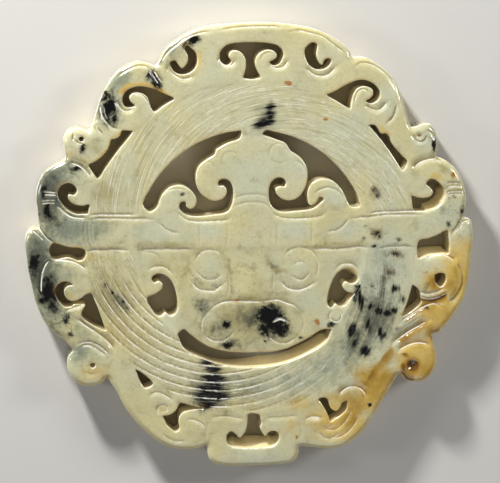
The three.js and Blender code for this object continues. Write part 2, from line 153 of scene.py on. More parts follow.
shoulderLines = [
    (0.24, 0.3, 0, [(118, 77), (125, 72), (135, 67), (143, 66), (150, 69)]),
    (0.4, 0.32, 0, [(150, 67), (152, 73), (155, 78), (159, 84)]),
    (0.34, 0.28, 0, [(154.5, 70), (158, 77), (162, 82)]),
    (0.34, 0.36, 0.4, [(116, 98), (119, 105), (124, 110), (130, 110.5), (135, 107)]),
    (0.2, 0.32, 0, [(133, 94), (140, 94), (146, 99), (148, 104)]),
    (0.4, 0.36, 0, [(101, 103), (102, 112), (106, 120), (112, 126), (119, 128)]),
    (0.14, 0.3, 0, [(105, 106), (106, 113), (109, 119)]),
    (0.3, 0.32, 0, [(96, 122), (99, 129), (103, 133)]),
    (0.3, 0.36, 0.35, [(363, 105), (370, 110), (377, 111), (383, 107), (386, 101)]),
    (0.2, 0.26, 0, [(353, 103), (355, 96), (358, 91), (362, 90), (367, 93)]),
    (0.24, 0.3, 0, [(396, 105), (394, 113), (391, 119), (385, 124)]),
    (0.22, 0.26, 0, [(354, 67), (358, 64), (368, 65), (380, 72), (388, 80), (394, 91)]),
]
headLines = [
    (0.3, 0.3, 0, [(75.5, 131), (75, 137), (78, 141), (84, 142.5)]),
    (0.26, 0.34, 0, [(409, 133), (413, 140), (418, 143), (424, 141), (427, 135)]),
    (0.2, 0.34, 0, [(424, 131), (430, 134), (433, 140)]),
    (0.34, 0.36, 0.4, [(70, 160.5), (80, 164), (86, 169), (91.5, 176)]),
    (0.12, 0.3, 0, [(74, 158), (82, 160), (88, 164)]),
    (0.34, 0.36, 0.4, [(412, 171), (418, 164), (425, 161), (433, 160), (442, 163.5)]),
    (0.3, 0.2, 0, [(43, 189), (50, 189.4), (58, 190.2)]),
    (0.3, 0.2, 0, [(45, 192), (52, 192), (58, 192.6)]),
    (0.3, 0.2, 0, [(42, 198), (50, 197.6), (57, 197.6)]),
    (0.32, 0.2, 0, [(42, 201), (50, 200.2), (57, 200.2)]),
    (0.3, 0.2, 0, [(446, 184), (452, 183.6), (460, 184.4)]),
    (0.24, 0.2, 0, [(446, 187), (453, 186.4), (461, 187)]),
    (0.3, 0.2, 0, [(445, 193.4), (453, 191.8), (462, 192)]),
    (0.24, 0.2, 0, [(447, 195.4), (454, 194.4), (462, 194.6)]),
    (0.34, 0.34, 0.4, [(57, 200.6), (60, 205), (65, 210), (72, 214.5), (80, 216), (88, 216)]),
    (0.34, 0.34, 0.4, [(424, 211.5), (435, 207), (441, 201), (446, 194)]),
]
wingLines = [
    (0.7, 0.42, 0, [(37, 223), (41, 227), (48, 236), (54, 240)]),
    (0.2, 0.3, 0, [(33, 227), (39, 232), (45, 238)]),
    (0.36, 0.36, 0.45, [(51, 257.5), (58, 257.6), (66, 258), (75, 260), (83, 265), (87, 269)]),
    (0.24, 0.36, 0.3, [(42, 291), (42, 279), (43.5, 269), (47, 261), (52, 256)]),
    (0.1, 0.34, 0, [(36, 283), (40, 291), (45, 298)]),
    (0.26, 0.3, 0.3, [(66, 309), (72, 306), (80, 303.5), (86, 300)]),
    (0.4, 0.36, 0.45, [(74, 314), (82, 321), (95, 330), (104, 337), (110, 343), (114, 350)]),
    (0.3, 0.28, 0, [(76, 341.5), (83, 339.6), (92, 340), (98, 343), (104, 348), (109, 352.5)]),
    (0.26, 0.28, 0.2, [(80, 344), (88, 343), (95, 346), (101, 350.5), (106, 354)]),
    (0.5, 0.4, 0, [(462, 219), (458, 227), (452, 234)]),
    (0.2, 0.3, 0, [(459, 231), (463, 223), (470, 221.5)]),
    (0.36, 0.36, 0.45, [(424, 260), (433, 257), (441, 256), (450, 259), (455, 264)]),
    (0.06, 0.4, 0.45, [(455, 264), (460, 273), (460, 285), (454, 296), (446, 303)]),
    (0.3, 0.24, 0, [(418, 292), (425, 294.5), (436, 293), (446, 289)]),
    (0.34, 0.3, 0.5, [(448, 293), (438, 298.5), (427, 300), (418, 297)]),
    (0.34, 0.32, 0.35, [(400, 324), (414, 314), (426, 307), (434, 305), (442, 308)]),
    (0.15, 0.26, 0, [(404, 326), (413, 318.5), (423, 312)]),
    (0.13, 0.26, 0, [(400, 332), (410, 325), (421, 318)]),
    (0.4, 0.36, 0.4, [(391, 346), (410, 332.5), (420, 327), (430, 321)]),
    (0.34, 0.34, 0.35, [(397, 353), (408, 347), (418, 344.5), (430, 346.5)]),
    (0.06, 0.34, 0, [(406, 370), (410, 377), (416, 377), (419, 370)]),
    (0.14, 0.34, 0, [(85, 369.5), (91, 372.5), (97, 370)]),
]
footLines = [
    (0.24, 0.34, 0.3, [(338, 398), (343, 392), (350, 388.5), (357, 389), (363, 393), (366, 401)]),
    (0.19, 0.32, 0, [(304, 421), (312, 418), (323, 419.5)]),
    (0.14, 0.3, 0, [(320, 428.5), (328, 429.5), (335, 425.5)]),
    (0.17, 0.34, 0, [(316, 433), (323, 439.5), (330, 441), (341, 434.5)]),
    (0.22, 0.32, 0.2, [(148, 394), (156, 391.5), (162, 393.5), (172, 400)]),
    (0.19, 0.32, 0, [(186, 419), (194, 420), (204, 426)]),
    (0.17, 0.34, 0, [(160, 432), (166, 437.5), (174, 441), (185, 441)]),
    (0.15, 0.34, 0.15, [(210, 417.5), (225, 416.8), (234, 418.4), (244, 420)]),
    (0.15, 0.34, 0.15, [(263, 420), (272, 419), (285, 418.4), (298, 417)]),
    (0.08, 0.3, 0, [(298, 420), (301, 430), (300, 441)]),
    (0.16, 0.28, 0.2, [(320, 430), (335, 432), (346, 423), (353, 410)]),
    (0.16, 0.28, 0.2, [(325, 440), (341, 439), (354, 428), (360, 415)]),
    (0.14, 0.24, 0, [(156, 412), (158, 405), (164, 404), (166, 409), (162, 411)]),
    (0.08, 0.3, 0, [(208, 420), (205, 432), (206, 444)]),
]
maskLines = [
    (0.1, 0.2, 0, [(86, 217), (85, 226), (86, 236), (89, 245)]),
    (0.1, 0.2, 0, [(89.6, 217), (89, 226), (90, 236), (93, 245)]),
    (0.1, 0.2, 0, [(93, 218), (92.6, 227), (94, 237), (96.6, 245)]),
    (0.13, 0.2, 0, [(162, 192), (169, 188.4), (176, 187.3), (184, 188.5)]),
    (0.16, 0.2, 0, [(313, 193), (319, 189.5), (327, 187.6), (335, 190), (342, 196.5)]),
    (0.21, 0.22, 0.15, [(176, 208), (179, 213.5), (186, 218.5), (195, 220.4), (212, 220), (226, 219),
        (230, 215.5)]),
    (0.21, 0.22, 0.15, [(269, 209), (275, 215), (283, 217.6), (297, 218.4), (312, 217.4), (322, 215),
        (326, 210)]),
    (0.16, 0.22, 0, [(157, 220), (163, 226), (170, 230), (179, 231.5)]),
    (0.16, 0.22, 0, [(348, 219), (342, 226), (335, 230), (326, 231.5)]),
    (0.1, 0.2, 0, [(203, 160.5), (209, 161.5), (214, 167)]),
    (0.13, 0.2, 0, [(294, 160), (298, 162.5), (302, 166)]),
    (0.11, 0.22, 0, [(231, 198), (244, 194.4), (258, 193.8), (268, 197)]),
    (0.11, 0.22, 0, [(232, 205), (246, 201.6), (260, 202), (269, 206.5)]),
    (0.24, 0.22, 0.1, [(190, 279), (196, 287), (205, 289.6), (213, 289.6), (219, 286), (224, 281)]),
    (0.24, 0.22, 0.1, [(277, 279), (287, 288), (297, 290), (307, 287), (316, 281)]),
    (0.21, 0.22, 0.15, [(147, 268), (157, 265), (166, 267), (172.5, 275)]),
    (0.21, 0.22, 0.15, [(334, 270), (341, 264.6), (352, 265), (358, 271)]),
    (0.1, 0.22, 0, [(229, 268), (228, 276), (228.6, 285), (226.5, 295)]),
    (0.1, 0.22, 0, [(272, 266), (273, 276), (272, 286), (276, 297)]),
    (0.24, 0.22, 0.1, [(205, 312), (214, 305), (222, 301.5), (233, 300.5), (248, 301), (262, 301),
        (276, 299.5), (286, 303), (293, 305.5), (301, 313)]),
    (0.16, 0.2, 0, [(270, 323), (277, 318), (284, 319.6), (288, 324)]),
    (0.11, 0.22, 0, [(140, 250), (148, 250), (155, 252.4), (158.5, 257)]),
    (0.08, 0.22, 0, [(199, 221), (199.5, 233), (199, 245)]),
    (0.08, 0.22, 0, [(226.5, 222), (227, 233), (226.5, 245)]),
    (0.08, 0.22, 0, [(277, 222), (276.5, 233), (277, 245)]),
    (0.08, 0.22, 0, [(311, 221), (311.5, 233), (311, 245)]),
    (0.24, 0.22, 0, [(138, 248.5), (150, 247.6), (165, 247.4), (180, 247.6), (193, 247.8)]),
    (0.24, 0.22, 0, [(312, 249), (325, 248.6), (340, 248.8), (355, 247), (369, 248)]),
    (0.27, 0.2, 0, [(88, 248), (100, 247.6), (112, 247.6), (128, 247.8)]),
    (0.27, 0.2, 0, [(380, 248), (395, 247), (412, 247)]),
    (0.24, 0.2, 0, [(89, 213), (98, 212.4), (112, 212.6), (137, 212.8)]),
    (0.27, 0.2, 0, [(90, 216.8), (104, 216.5), (120, 216.6), (152, 217.4)]),
    (0.24, 0.2, 0, [(366, 214), (380, 212.2), (400, 211.6), (424, 211.4)]),
    (0.27, 0.2, 0, [(350, 218.5), (364, 217.4), (382, 215.4), (400, 215), (422, 215)]),
]

# rings cut round eyes, nostrils and curls: depth, half width, middle on the sheet, radius, angles
maskRings = [
    (0.16, 0.17, (209, 263.5), 15, 40, 160),
    (0.18, 0.17, (209, 263.5), 15, 195, 320),
    (0.16, 0.17, (298.5, 266), 19, 20, 140),
    (0.12, 0.17, (298.5, 266), 19, 330, 400),
    (0.14, 0.17, (299, 270.5), 9.0, 60, 130),
    (0.18, 0.17, (299, 270.5), 9.0, 200, 350),
    (0.14, 0.17, (217, 324), 16, 110, 215),
    (0.2, 0.17, (217, 324), 16.5, 215, 335),
    (0.2, 0.17, (282, 325), 18, 215, 320),
    (0.22, 0.17, (279, 326), 7, 35, 150),
    (0.1, 0.17, (284, 322), 19, 320, 420),
    (0.07, 0.2, (229.6, 159), 8.0, 30, 250),
    (0.08, 0.2, (278.6, 153), 10.0, 60, 330),
    (0.18, 0.2, (335, 316), 6.0, 120, 430),
]

# soft swells and hollows on the face: middle on the sheet, half widths along x and y in mm, height
faceSwells = [
    ((209, 263.5), 3.0, 3.0, 0.12),
    ((298, 268), 3.8, 3.8, 0.1),
    ((298.5, 270.5), 1.8, 1.8, 0.08),
    ((250, 284), 4.6, 4.4, 0.15),
    ((217, 325), 3.4, 3.4, 0.16),
    ((281, 325), 3.6, 3.6, 0.16),
    ((250, 318), 7.0, 3.4, 0.1),
    ((66, 282), 5.0, 5.0, 0.3),
    ((440, 280), 5.0, 5.0, 0.3),
    ((91, 364), 4.6, 4.4, 0.2),
    ((413, 364), 4.8, 4.6, 0.2),
    ((60, 180), 2.6, 5.0, 0.16),
    ((445, 178), 2.6, 5.0, 0.16),
    ((313, 424), 2.8, 2.0, 0.2),
    ((194, 426), 2.8, 2.0, 0.2),
    ((418, 136), 0.8, 0.7, -0.7),
    ((413, 367), 1.2, 1.2, -0.8),
    ((374, 372), 1.1, 3.4, -0.2),
    ((160, 407), 1.4, 1.2, -0.25),
    ((182, 193), 0.5, 0.4, -0.35),
]


def along(points, step, closed=False, pieces=8):
    # centripetal curve through the points, cut into even short steps
    points = np.asarray(points, float)
    if closed:
        ring = np.vstack([points[-1], points, points[:2]])
    else:
        ring = np.vstack([2 * points[0] - points[1], points, 2 * points[-1] - points[-2]])
    run = []
    for a, b, c, d in zip(ring, ring[1:], ring[2:], ring[3:]):
        t1 = math.sqrt(math.hypot(*(b - a))) + 1e-9
        t2 = t1 + math.sqrt(math.hypot(*(c - b))) + 1e-9
        t3 = t2 + math.sqrt(math.hypot(*(d - c))) + 1e-9
        t = np.linspace(t1, t2, pieces + 1)[:-1, None]
        ab = (a * (t1 - t) + b * t) / t1
        bc = (b * (t2 - t) + c * (t - t1)) / (t2 - t1)
        cd = (c * (t3 - t) + d * (t - t2)) / (t3 - t2)
        abc = (ab * (t2 - t) + bc * t) / t2
        bcd = (bc * (t3 - t) + cd * (t - t1)) / (t3 - t1)
        run.append((abc * (t2 - t) + bcd * (t - t1)) / (t2 - t1))
    run.append(points[:1] if closed else points[-1:])
    run = np.vstack(run)
    length = np.concatenate([[0], np.cumsum(np.hypot(*np.diff(run, axis=0).T))])
    count = max(3, int(round(length[-1] / step)))
    at = np.linspace(0, length[-1], count + 1)
    even = np.column_stack([np.interp(at, length, run[:, k]) for k in (0, 1)])
    return even[:-1] if closed else even


def arcPoints(middle, radius, start, end, count=14):
    turn = np.radians(np.linspace(start, end, count))
    return np.column_stack([middle[0] + radius * np.cos(turn), middle[1] - radius * np.sin(turn)])


def ramp(value, low, high):
    t = np.clip((value - low) / (high - low), 0, 1)
    return t * t * (3 - 2 * t)


def bell(value, wide):
    return np.exp(-(value / wide) ** 2)


def sectionLoops(node, height):
    # closed outlines of the CAD node at one height, the solid always on the left hand
    mesh = node.data
    mesh.calc_loop_triangles()
    spots = np.empty(len(mesh.vertices) * 3)
    mesh.vertices.foreach_get("co", spots)
    spots = spots.reshape(-1, 3) * perMetre
    corners = np.empty(len(mesh.loop_triangles) * 3, np.int32)
    mesh.loop_triangles.foreach_get("vertices", corners)
    corners = spots[corners.reshape(-1, 3)]
    following = {}
    for triangle in corners[(corners[:, :, 2].min(1) < height) & (corners[:, :, 2].max(1) > height)]:
        ends = {}
        for p, q in ((0, 1), (1, 2), (2, 0)):
            zp, zq = triangle[p, 2] - height, triangle[q, 2] - height
            if zp * zq < 0:
                cut = triangle[p] + (triangle[q] - triangle[p]) * zp / (zp - zq)
                ends[zp < 0] = (round(cut[0], 3), round(cut[1], 3))
        if len(ends) == 2 and ends[True] != ends[False]:
            following[ends[True]] = ends[False]
    loops = []
    while following:
        start, spot = following.popitem()
        loop = [start]
        while spot != start and spot in following:
            loop.append(spot)
            spot = following.pop(spot)
        loop = np.array(loop)
        back, ahead = loop - np.roll(loop, 1, 0), np.roll(loop, -1, 0) - loop
        turn = np.arctan2(back[:, 0] * ahead[:, 1] - back[:, 1] * ahead[:, 0], (back * ahead).sum(1))
        loops.append(loop[np.abs(turn) > discForm["straight"]])
    sides = [loop.T for loop in loops]
    area = np.array([np.sum(x * np.roll(y, -1) - y * np.roll(x, -1)) / 2 for x, y in sides])
    outer = int(np.argmax(np.abs(area)))
    turned = (area > 0) != (np.arange(len(loops)) == outer)
    return [loop[::-1] if back else loop for loop, back in zip(loops, turned)], outer


class Rim:
    # the smooth outline with its edges, and how far any spot is from it
    def __init__(self, loops, outer):
        few, small, step = discForm["fewPoints"], discForm["smallStep"], discForm["rimStep"]
        loops = [along(loop, small if len(loop) < few else step, True) for loop in loops]
        self.spots = np.vstack(loops)
        first = np.cumsum([0] + [len(loop) for loop in loops])
        self.next = np.concatenate([np.roll(np.arange(a, b), -1) for a, b in zip(first, first[1:])])
        self.before = np.empty_like(self.next)
        self.before[self.next] = np.arange(len(self.next))
        self.isOuter = np.zeros(len(self.spots), bool)
        self.isOuter[first[outer]:first[outer + 1]] = True
        way = self.spots[self.next] - self.spots[self.before]
        way /= np.hypot(*way.T)[:, None] + 1e-12
        self.inward = np.column_stack([-way[:, 1], way[:, 0]])
        self.tree = kdtree.KDTree(len(self.spots))
        for k, (x, y) in enumerate(self.spots):
            self.tree.insert((x, y, 0), k)
        self.tree.balance()

    def nearest(self, points):
        near = np.array([self.tree.find((x, y, 0))[1] for x, y in points])
        best = np.full(len(points), np.inf)
        for a, b in ((self.before[near], near), (near, self.next[near])):
            p, q = self.spots[a], self.spots[b]
            t = np.clip(((points - p) * (q - p)).sum(1) / (((q - p) ** 2).sum(1) + 1e-12), 0, 1)
            best = np.minimum(best, np.hypot(*(points - p - (q - p) * t[:, None]).T))
        inside = ((points - self.spots[near]) * self.inward[near]).sum(1) > 0
        return best, near, inside

    def holds(self, points, batch=2000):
        # even and odd crossings of a line from each spot
        p, q = self.spots, self.spots[self.next]
        found = np.zeros(len(points), bool)
        for start in range(0, len(points), batch):
            x, y = points[start:start + batch, 0][:, None], points[start:start + batch, 1][:, None]
            cross = (p[:, 1] > y) != (q[:, 1] > y)
            at = p[:, 0] + (y - p[:, 1]) * (q[:, 0] - p[:, 0]) / (q[:, 1] - p[:, 1] + 1e-15)
            found[start:start + batch] = (np.sum(cross & (at > x), 1) % 2) == 1
        return found

    def rows(self, reaches):
        # spots that follow the outline on the inside
        kept = []
        for reach in reaches:
            row = self.spots + self.inward * reach
            gap, _, inside = self.nearest(row)
            kept.append(row[inside & (gap > discForm["rowRoom"] * reach)])
        return kept

    def filling(self, step, room):
        # rows of a triangle grid, clear of the edges
        low, high = self.spots.min(0), self.spots.max(0)
        spots = []
        for k, y in enumerate(np.arange(low[1] + step / 2, high[1], step * discForm["rowStep"])):
            x = np.arange(low[0] + (k % 2) * step / 2, high[0], step)
            spots.append(np.column_stack([x, np.full(len(x), y)]))
        spots = np.vstack(spots)
        spots = spots[self.holds(spots)]
        return spots[self.nearest(spots)[0] > room]


def thinned(groups, cell):
    # spots from the earlier groups win where two share a cell
    spots = np.vstack(groups)
    _, first = np.unique(np.round(spots / cell).astype(np.int64), axis=0, return_index=True)
    return spots[np.sort(first)]


def skin(rim, inner):
    # triangles over the outline and the spots inside it, seen from above
    spots = np.vstack([rim.spots, inner])
    edges = list(zip(range(len(rim.spots)), rim.next.tolist()))
    points = [Vector(p) for p in spots]
    _, _, faces, origin, _, _ = delaunay_2d_cdt(points, edges, [], 0, discForm["merge"])
    home = np.array([min(o) if o else -1 for o in origin])
    faces = home[np.array([f for f in faces if len(f) == 3])]
    faces = faces[(faces >= 0).all(1)]
    onRim = (faces < len(rim.spots)).all(1)
    kept = ~onRim
    kept[onRim] = rim.holds(spots[faces[onRim]].mean(1))
    faces = faces[kept]
    a, b, c = spots[faces[:, 0]], spots[faces[:, 1]], spots[faces[:, 2]]
    area = (b[:, 0] - a[:, 0]) * (c[:, 1] - a[:, 1]) - (b[:, 1] - a[:, 1]) * (c[:, 0] - a[:, 0])
    faces[area < 0] = faces[area < 0][:, ::-1]
    return spots, faces[np.abs(area) > discForm["leastArea"]]


def beside(path, wide, rows):
    # copies of a path, moved sideways by so many half widths
    way = np.gradient(path, axis=0)
    side = np.column_stack([-way[:, 1], way[:, 0]]) / (np.hypot(*way.T)[:, None] + 1e-12)
    return [path + side * wide * k for k in rows]


def ropePlace(points):
    # radius, angle in degrees and strand count at a spot on the ring
    x, y = (points - ropeRing["middle"]).T
    radius = np.hypot(x, y)
    angle = np.degrees(np.arctan2(y, x))
    inward = (ropeRing["outer"] - radius) / (ropeRing["outer"] - ropeRing["inner"])
    return radius, angle, ropeRing["strands"] * (angle - ropeRing["sweep"] * inward) / 360


def ropeStrength(angle):
    # the strands are crisp at the lower left and below, and are worn to fine lines elsewhere
    start, full, fading, end = ropeRing["crisp"]
    turn = angle % 360
    crisp = ramp(turn, start, full) * (1 - ramp(turn, fading, end))
    return ropeRing["worn"] + (1 - ropeRing["worn"]) * crisp


def ropeSpots():
    spots = []
    radius = np.linspace(ropeRing["inner"], ropeRing["outer"], ropeRing["points"])
    inward = (ropeRing["outer"] - radius) / (ropeRing["outer"] - ropeRing["inner"])
    for strand in range(ropeRing["strands"]):
        angle = np.radians(360 * strand / ropeRing["strands"] + ropeRing["sweep"] * inward)
        middle = np.column_stack([radius * np.cos(angle), radius * np.sin(angle)]) + ropeRing["middle"]
        spots += beside(middle, ropeRing["wide"], ropeRing["rows"])
    spots = np.vstack(spots)
    return spots[ringShare(spots) > ropeRing["share"]]


def ringShare(points):
    # 1 on the ring, 0 off it and on the brow band
    radius = np.hypot(*(points - ropeRing["middle"]).T)
    onRing = ramp(radius - ropeRing["inner"], *ropeRing["innerSoft"])
    onRing *= 1 - ramp(radius - ropeRing["outer"], *ropeRing["outerSoft"])
    x, y = points.T
    soft = browBand["soft"]
    band = ramp(y, browBand["bottom"] - soft, browBand["bottom"] + soft)
    band *= 1 - ramp(y, browBand["top"] - soft, browBand["top"] + soft)
    return onRing * (1 - band * (np.abs(x) < browBand["reach"]))


def faceShare(points):
    x, y = points.T
    onFace = 1 - ramp(np.hypot(x - maskFace["middle"], y), *maskFace["edge"])
    return onFace * (1 - ramp(y, *maskFace["brow"]) * maskFace["browShare"])


def drawnLines():
    step = carvedLine["step"]
    lines = [(cut, wide, fall, along(onDisc(path), step))
             for group in (crownLines, shoulderLines, headLines, wingLines, footLines, maskLines)
             for cut, wide, fall, path in group]
    lines += [(cut, wide, 0, along(onDisc(arcPoints(middle, radius, start, end)), step))
              for cut, wide, middle, radius, start, end in maskRings]
    return lines


def besidePath(points, path, reach):
    # spots within reach of a path: which, how far off and to where, if on its left hand, its fading ends
    low, high = path.min(0) - reach, path.max(0) + reach
    near = np.where(((points > low) & (points < high)).all(1))[0]
    spots = points[near]
    p, q = path[:-1], path[1:]
    t = np.clip(((spots[:, None] - p) * (q - p)).sum(2) / (((q - p) ** 2).sum(1) + 1e-12), 0, 1)
    off = spots[:, None] - (p + (q - p) * t[..., None])
    gap = np.hypot(off[..., 0], off[..., 1])
    best = gap.argmin(1)
    pick = np.arange(len(near))
    gap, off, way = gap[pick, best], off[pick, best], (q - p)[best]
    place = (best + t[pick, best]) / len(p)
    left = way[:, 0] * off[:, 1] - way[:, 1] * off[:, 0] > 0
    ends = carvedLine["ends"]
    return near, gap, off, left, ramp(place, 0, ends) * (1 - ramp(place, 1 - ends, 1))


def carvedDepth(points, lines):
    # how deep the drawn lines go at each spot, and how much painted highlight and painted shade lie along
    # them
    depth, bright, shade = np.zeros((3, len(points)))
    reach, endCut = carvedLine["reach"], carvedLine["endCut"]
    shadeOff, shadeWide = carvedLine["shade"]
    for cut, wide, fall, path in lines:
        near, gap, off, left, fade = besidePath(points, path, reach)
        groove = cut * bell(gap, wide) * (endCut + (1 - endCut) * fade)
        slope = np.clip(1 - gap / reach, 0, 1) ** carvedLine["curve"]
        slope = np.where(left, slope, bell(gap, carvedLine["lip"]))
        slope *= carvedLine["fall"] * fall * fade * (1 - bell(gap, carvedLine["floor"]))
        depth[near] = np.maximum(depth[near], groove + slope)
        power = min(1, cut / carvedLine["fullCut"]) * fade
        bright[near] = np.maximum(bright[near], power * bell(gap, carvedLine["shine"]))
        towardLight = off @ np.array(discForm["litFrom"]) > 0
        cast = np.maximum(power * towardLight * bell(gap - shadeOff, shadeWide), slope)
        shade[near] = np.maximum(shade[near], cast)
    return depth, bright, shade


def wornEdge(gap, edge):
    fall, width, steep = discForm[edge]
    return fall * np.clip(1 - gap / width, 0, 1) ** steep


def faceHeight(points, rim, lines):
    gap, near, _ = rim.nearest(points)
    height = np.full(len(points), discForm["thickness"])
    height -= np.where(rim.isOuter[near], wornEdge(gap, "outerFall"), wornEdge(gap, "openingFall"))
    share = ringShare(points)
    radius, angle, strand = ropePlace(points)
    power = ropeStrength(angle)
    shallow, deep = ropeRing["sunk"]
    height -= share * (shallow + (deep - shallow) * power)
    # strand spacing measured square to the strand
    lean = math.radians(ropeRing["sweep"]) / (ropeRing["outer"] - ropeRing["inner"])
    pitch = 2 * math.pi * radius / ropeRing["strands"] / np.sqrt(1 + (radius * lean) ** 2)
    part = strand - np.floor(strand)
    off = np.minimum(part, 1 - part) * pitch
    step = np.maximum(1 - part, ramp(ropeRing["stepRun"] - (1 - part) * pitch, 0, ropeRing["stepRun"]))
    rope = ropeRing["step"] * step - ropeRing["cut"] * bell(off, ropeRing["wide"])
    height += share * power * rope
    for middle, wideX, wideY, rise in faceSwells:
        x, y = (points - onDisc([middle])[0]).T
        away = (x / wideX) ** 2 + (y / wideY) ** 2
        height += rise * np.exp(-away ** (2 if rise < 0 else 1))   # hollows have steeper sides
    height -= maskFace["sunk"] * faceShare(points)
    depth, bright, shade = carvedDepth(points, lines)
    # painted highlight along each strand and painted shade on its inner side
    shine, shineWide = ropeRing["shine"]
    shadeOff, shadeWide = ropeRing["shade"]
    bright = np.maximum(bright, shine * share * power * bell(off, shineWide))
    shade = np.maximum(shade, share * power * bell((1 - part) * pitch - shadeOff, shadeWide))
    crest = bell(gap - crestLine["gap"], crestLine["wide"]) * ramp(points[:, 1], *crestLine["from"])
    crest *= radius < ropeRing["inner"] - crestLine["inside"]
    bright = np.maximum(bright, crestLine["shine"] * crest)
    return height - depth - crestLine["cut"] * crest, gap, bright, shade


def wallLean(rim):
    # how far the foot of each slanted wall stands out into its opening
    shift = np.zeros_like(rim.spots)
    x, y = rim.spots.T
    for (left, right, low, high), side, slant, clear in slantedWalls.values():
        boxed = ~rim.isOuter & (x > left) & (x < right) & (y > low) & (y < high)
        facing = rim.inward @ np.array(side)
        wall, opposite = boxed & (facing > slantLook["turn"]), boxed & (facing < 0)
        across = np.hypot(*(rim.spots[wall][:, None] - rim.spots[opposite]).transpose(2, 0, 1)).min(1)
        lean = np.minimum(np.interp(x[wall], *slant), np.maximum(across - clear, 0))
        shift[wall] = -rim.inward[wall] * lean[:, None]
    return shift


print("outline of the CAD node")
rim = Rim(*sectionLoops(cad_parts[discForm["node"]], discForm["outlineHeight"]))
rimCount = len(rim.spots)
lines = drawnLines()
cuts = [row for _, wide, _, path in lines for row in beside(path, wide, carvedLine["rows"])]
cuts = np.vstack(cuts + [ropeSpots()])
gap, _, inside = rim.nearest(cuts)
cuts = cuts[inside & (gap > discForm["cutRoom"])]
fill = rim.filling(discForm["fillStep"], discForm["fillRoom"])
topSpots, topFaces = skin(rim, thinned([cuts, *rim.rows(discForm["rimRows"]), fill], discForm["cell"]))
topHeight, topGap, topBright, topShade = faceHeight(topSpots, rim, lines)
topCount = len(topSpots)
print("carved face:", topCount, "points,", len(topFaces), "triangles")

backRows = [row[::2] for row in rim.rows(discForm["backRows"])]
backFill = rim.filling(discForm["backFill"], discForm["backRoom"])
backSpots, backFaces = skin(rim, thinned([*backRows, backFill], discForm["backCell"]))
backGap = rim.nearest(backSpots)[0]
backHeight = wornEdge(backGap, "backFall")
backCount = len(backSpots)
print("plain back:", len(backFaces), "triangles")

wallTop = np.column_stack([rim.spots, topHeight[:rimCount] - discForm["wallRows"][0]])
wallFoot = np.column_stack([rim.spots, backHeight[:rimCount] + discForm["wallRows"][1]])
lean = wallLean(rim)
backSpots[:rimCount] += lean
for row in (wallTop, wallFoot):
    row[:, :2] += lean * (1 - row[:, 2:] / discForm["thickness"])
spots = np.vstack([np.column_stack([topSpots, topHeight]), np.column_stack([backSpots, backHeight]),
                   wallTop, wallFoot])
here, there = np.arange(rimCount), rim.next
levels = [0, topCount + backCount, topCount + backCount + rimCount, topCount]
walls = np.vstack([np.column_stack([low + here, low + there, high + there, high + here])
                   for high, low in zip(levels, levels[1:])])
faces = topFaces.tolist() + (topCount + backFaces[:, ::-1]).tolist() + walls.tolist()
mesh = bpy.data.meshes.new("jadeDisc")
mesh.from_pydata((spots / perMetre).tolist(), [], faces)
mesh.update()
mesh.polygons.foreach_set("use_smooth", np.ones(len(mesh.polygons), bool))
jadeDisc = bpy.data.objects.new("jadeDisc", mesh)
bpy.context.scene.collection.objects.link(jadeDisc)
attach(jadeDisc, "root")
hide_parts(discForm["node"])
triangles = len(topFaces) + len(backFaces) + 2 * len(walls)
print("jade disc:", len(mesh.vertices), "points,", triangles, "triangles")

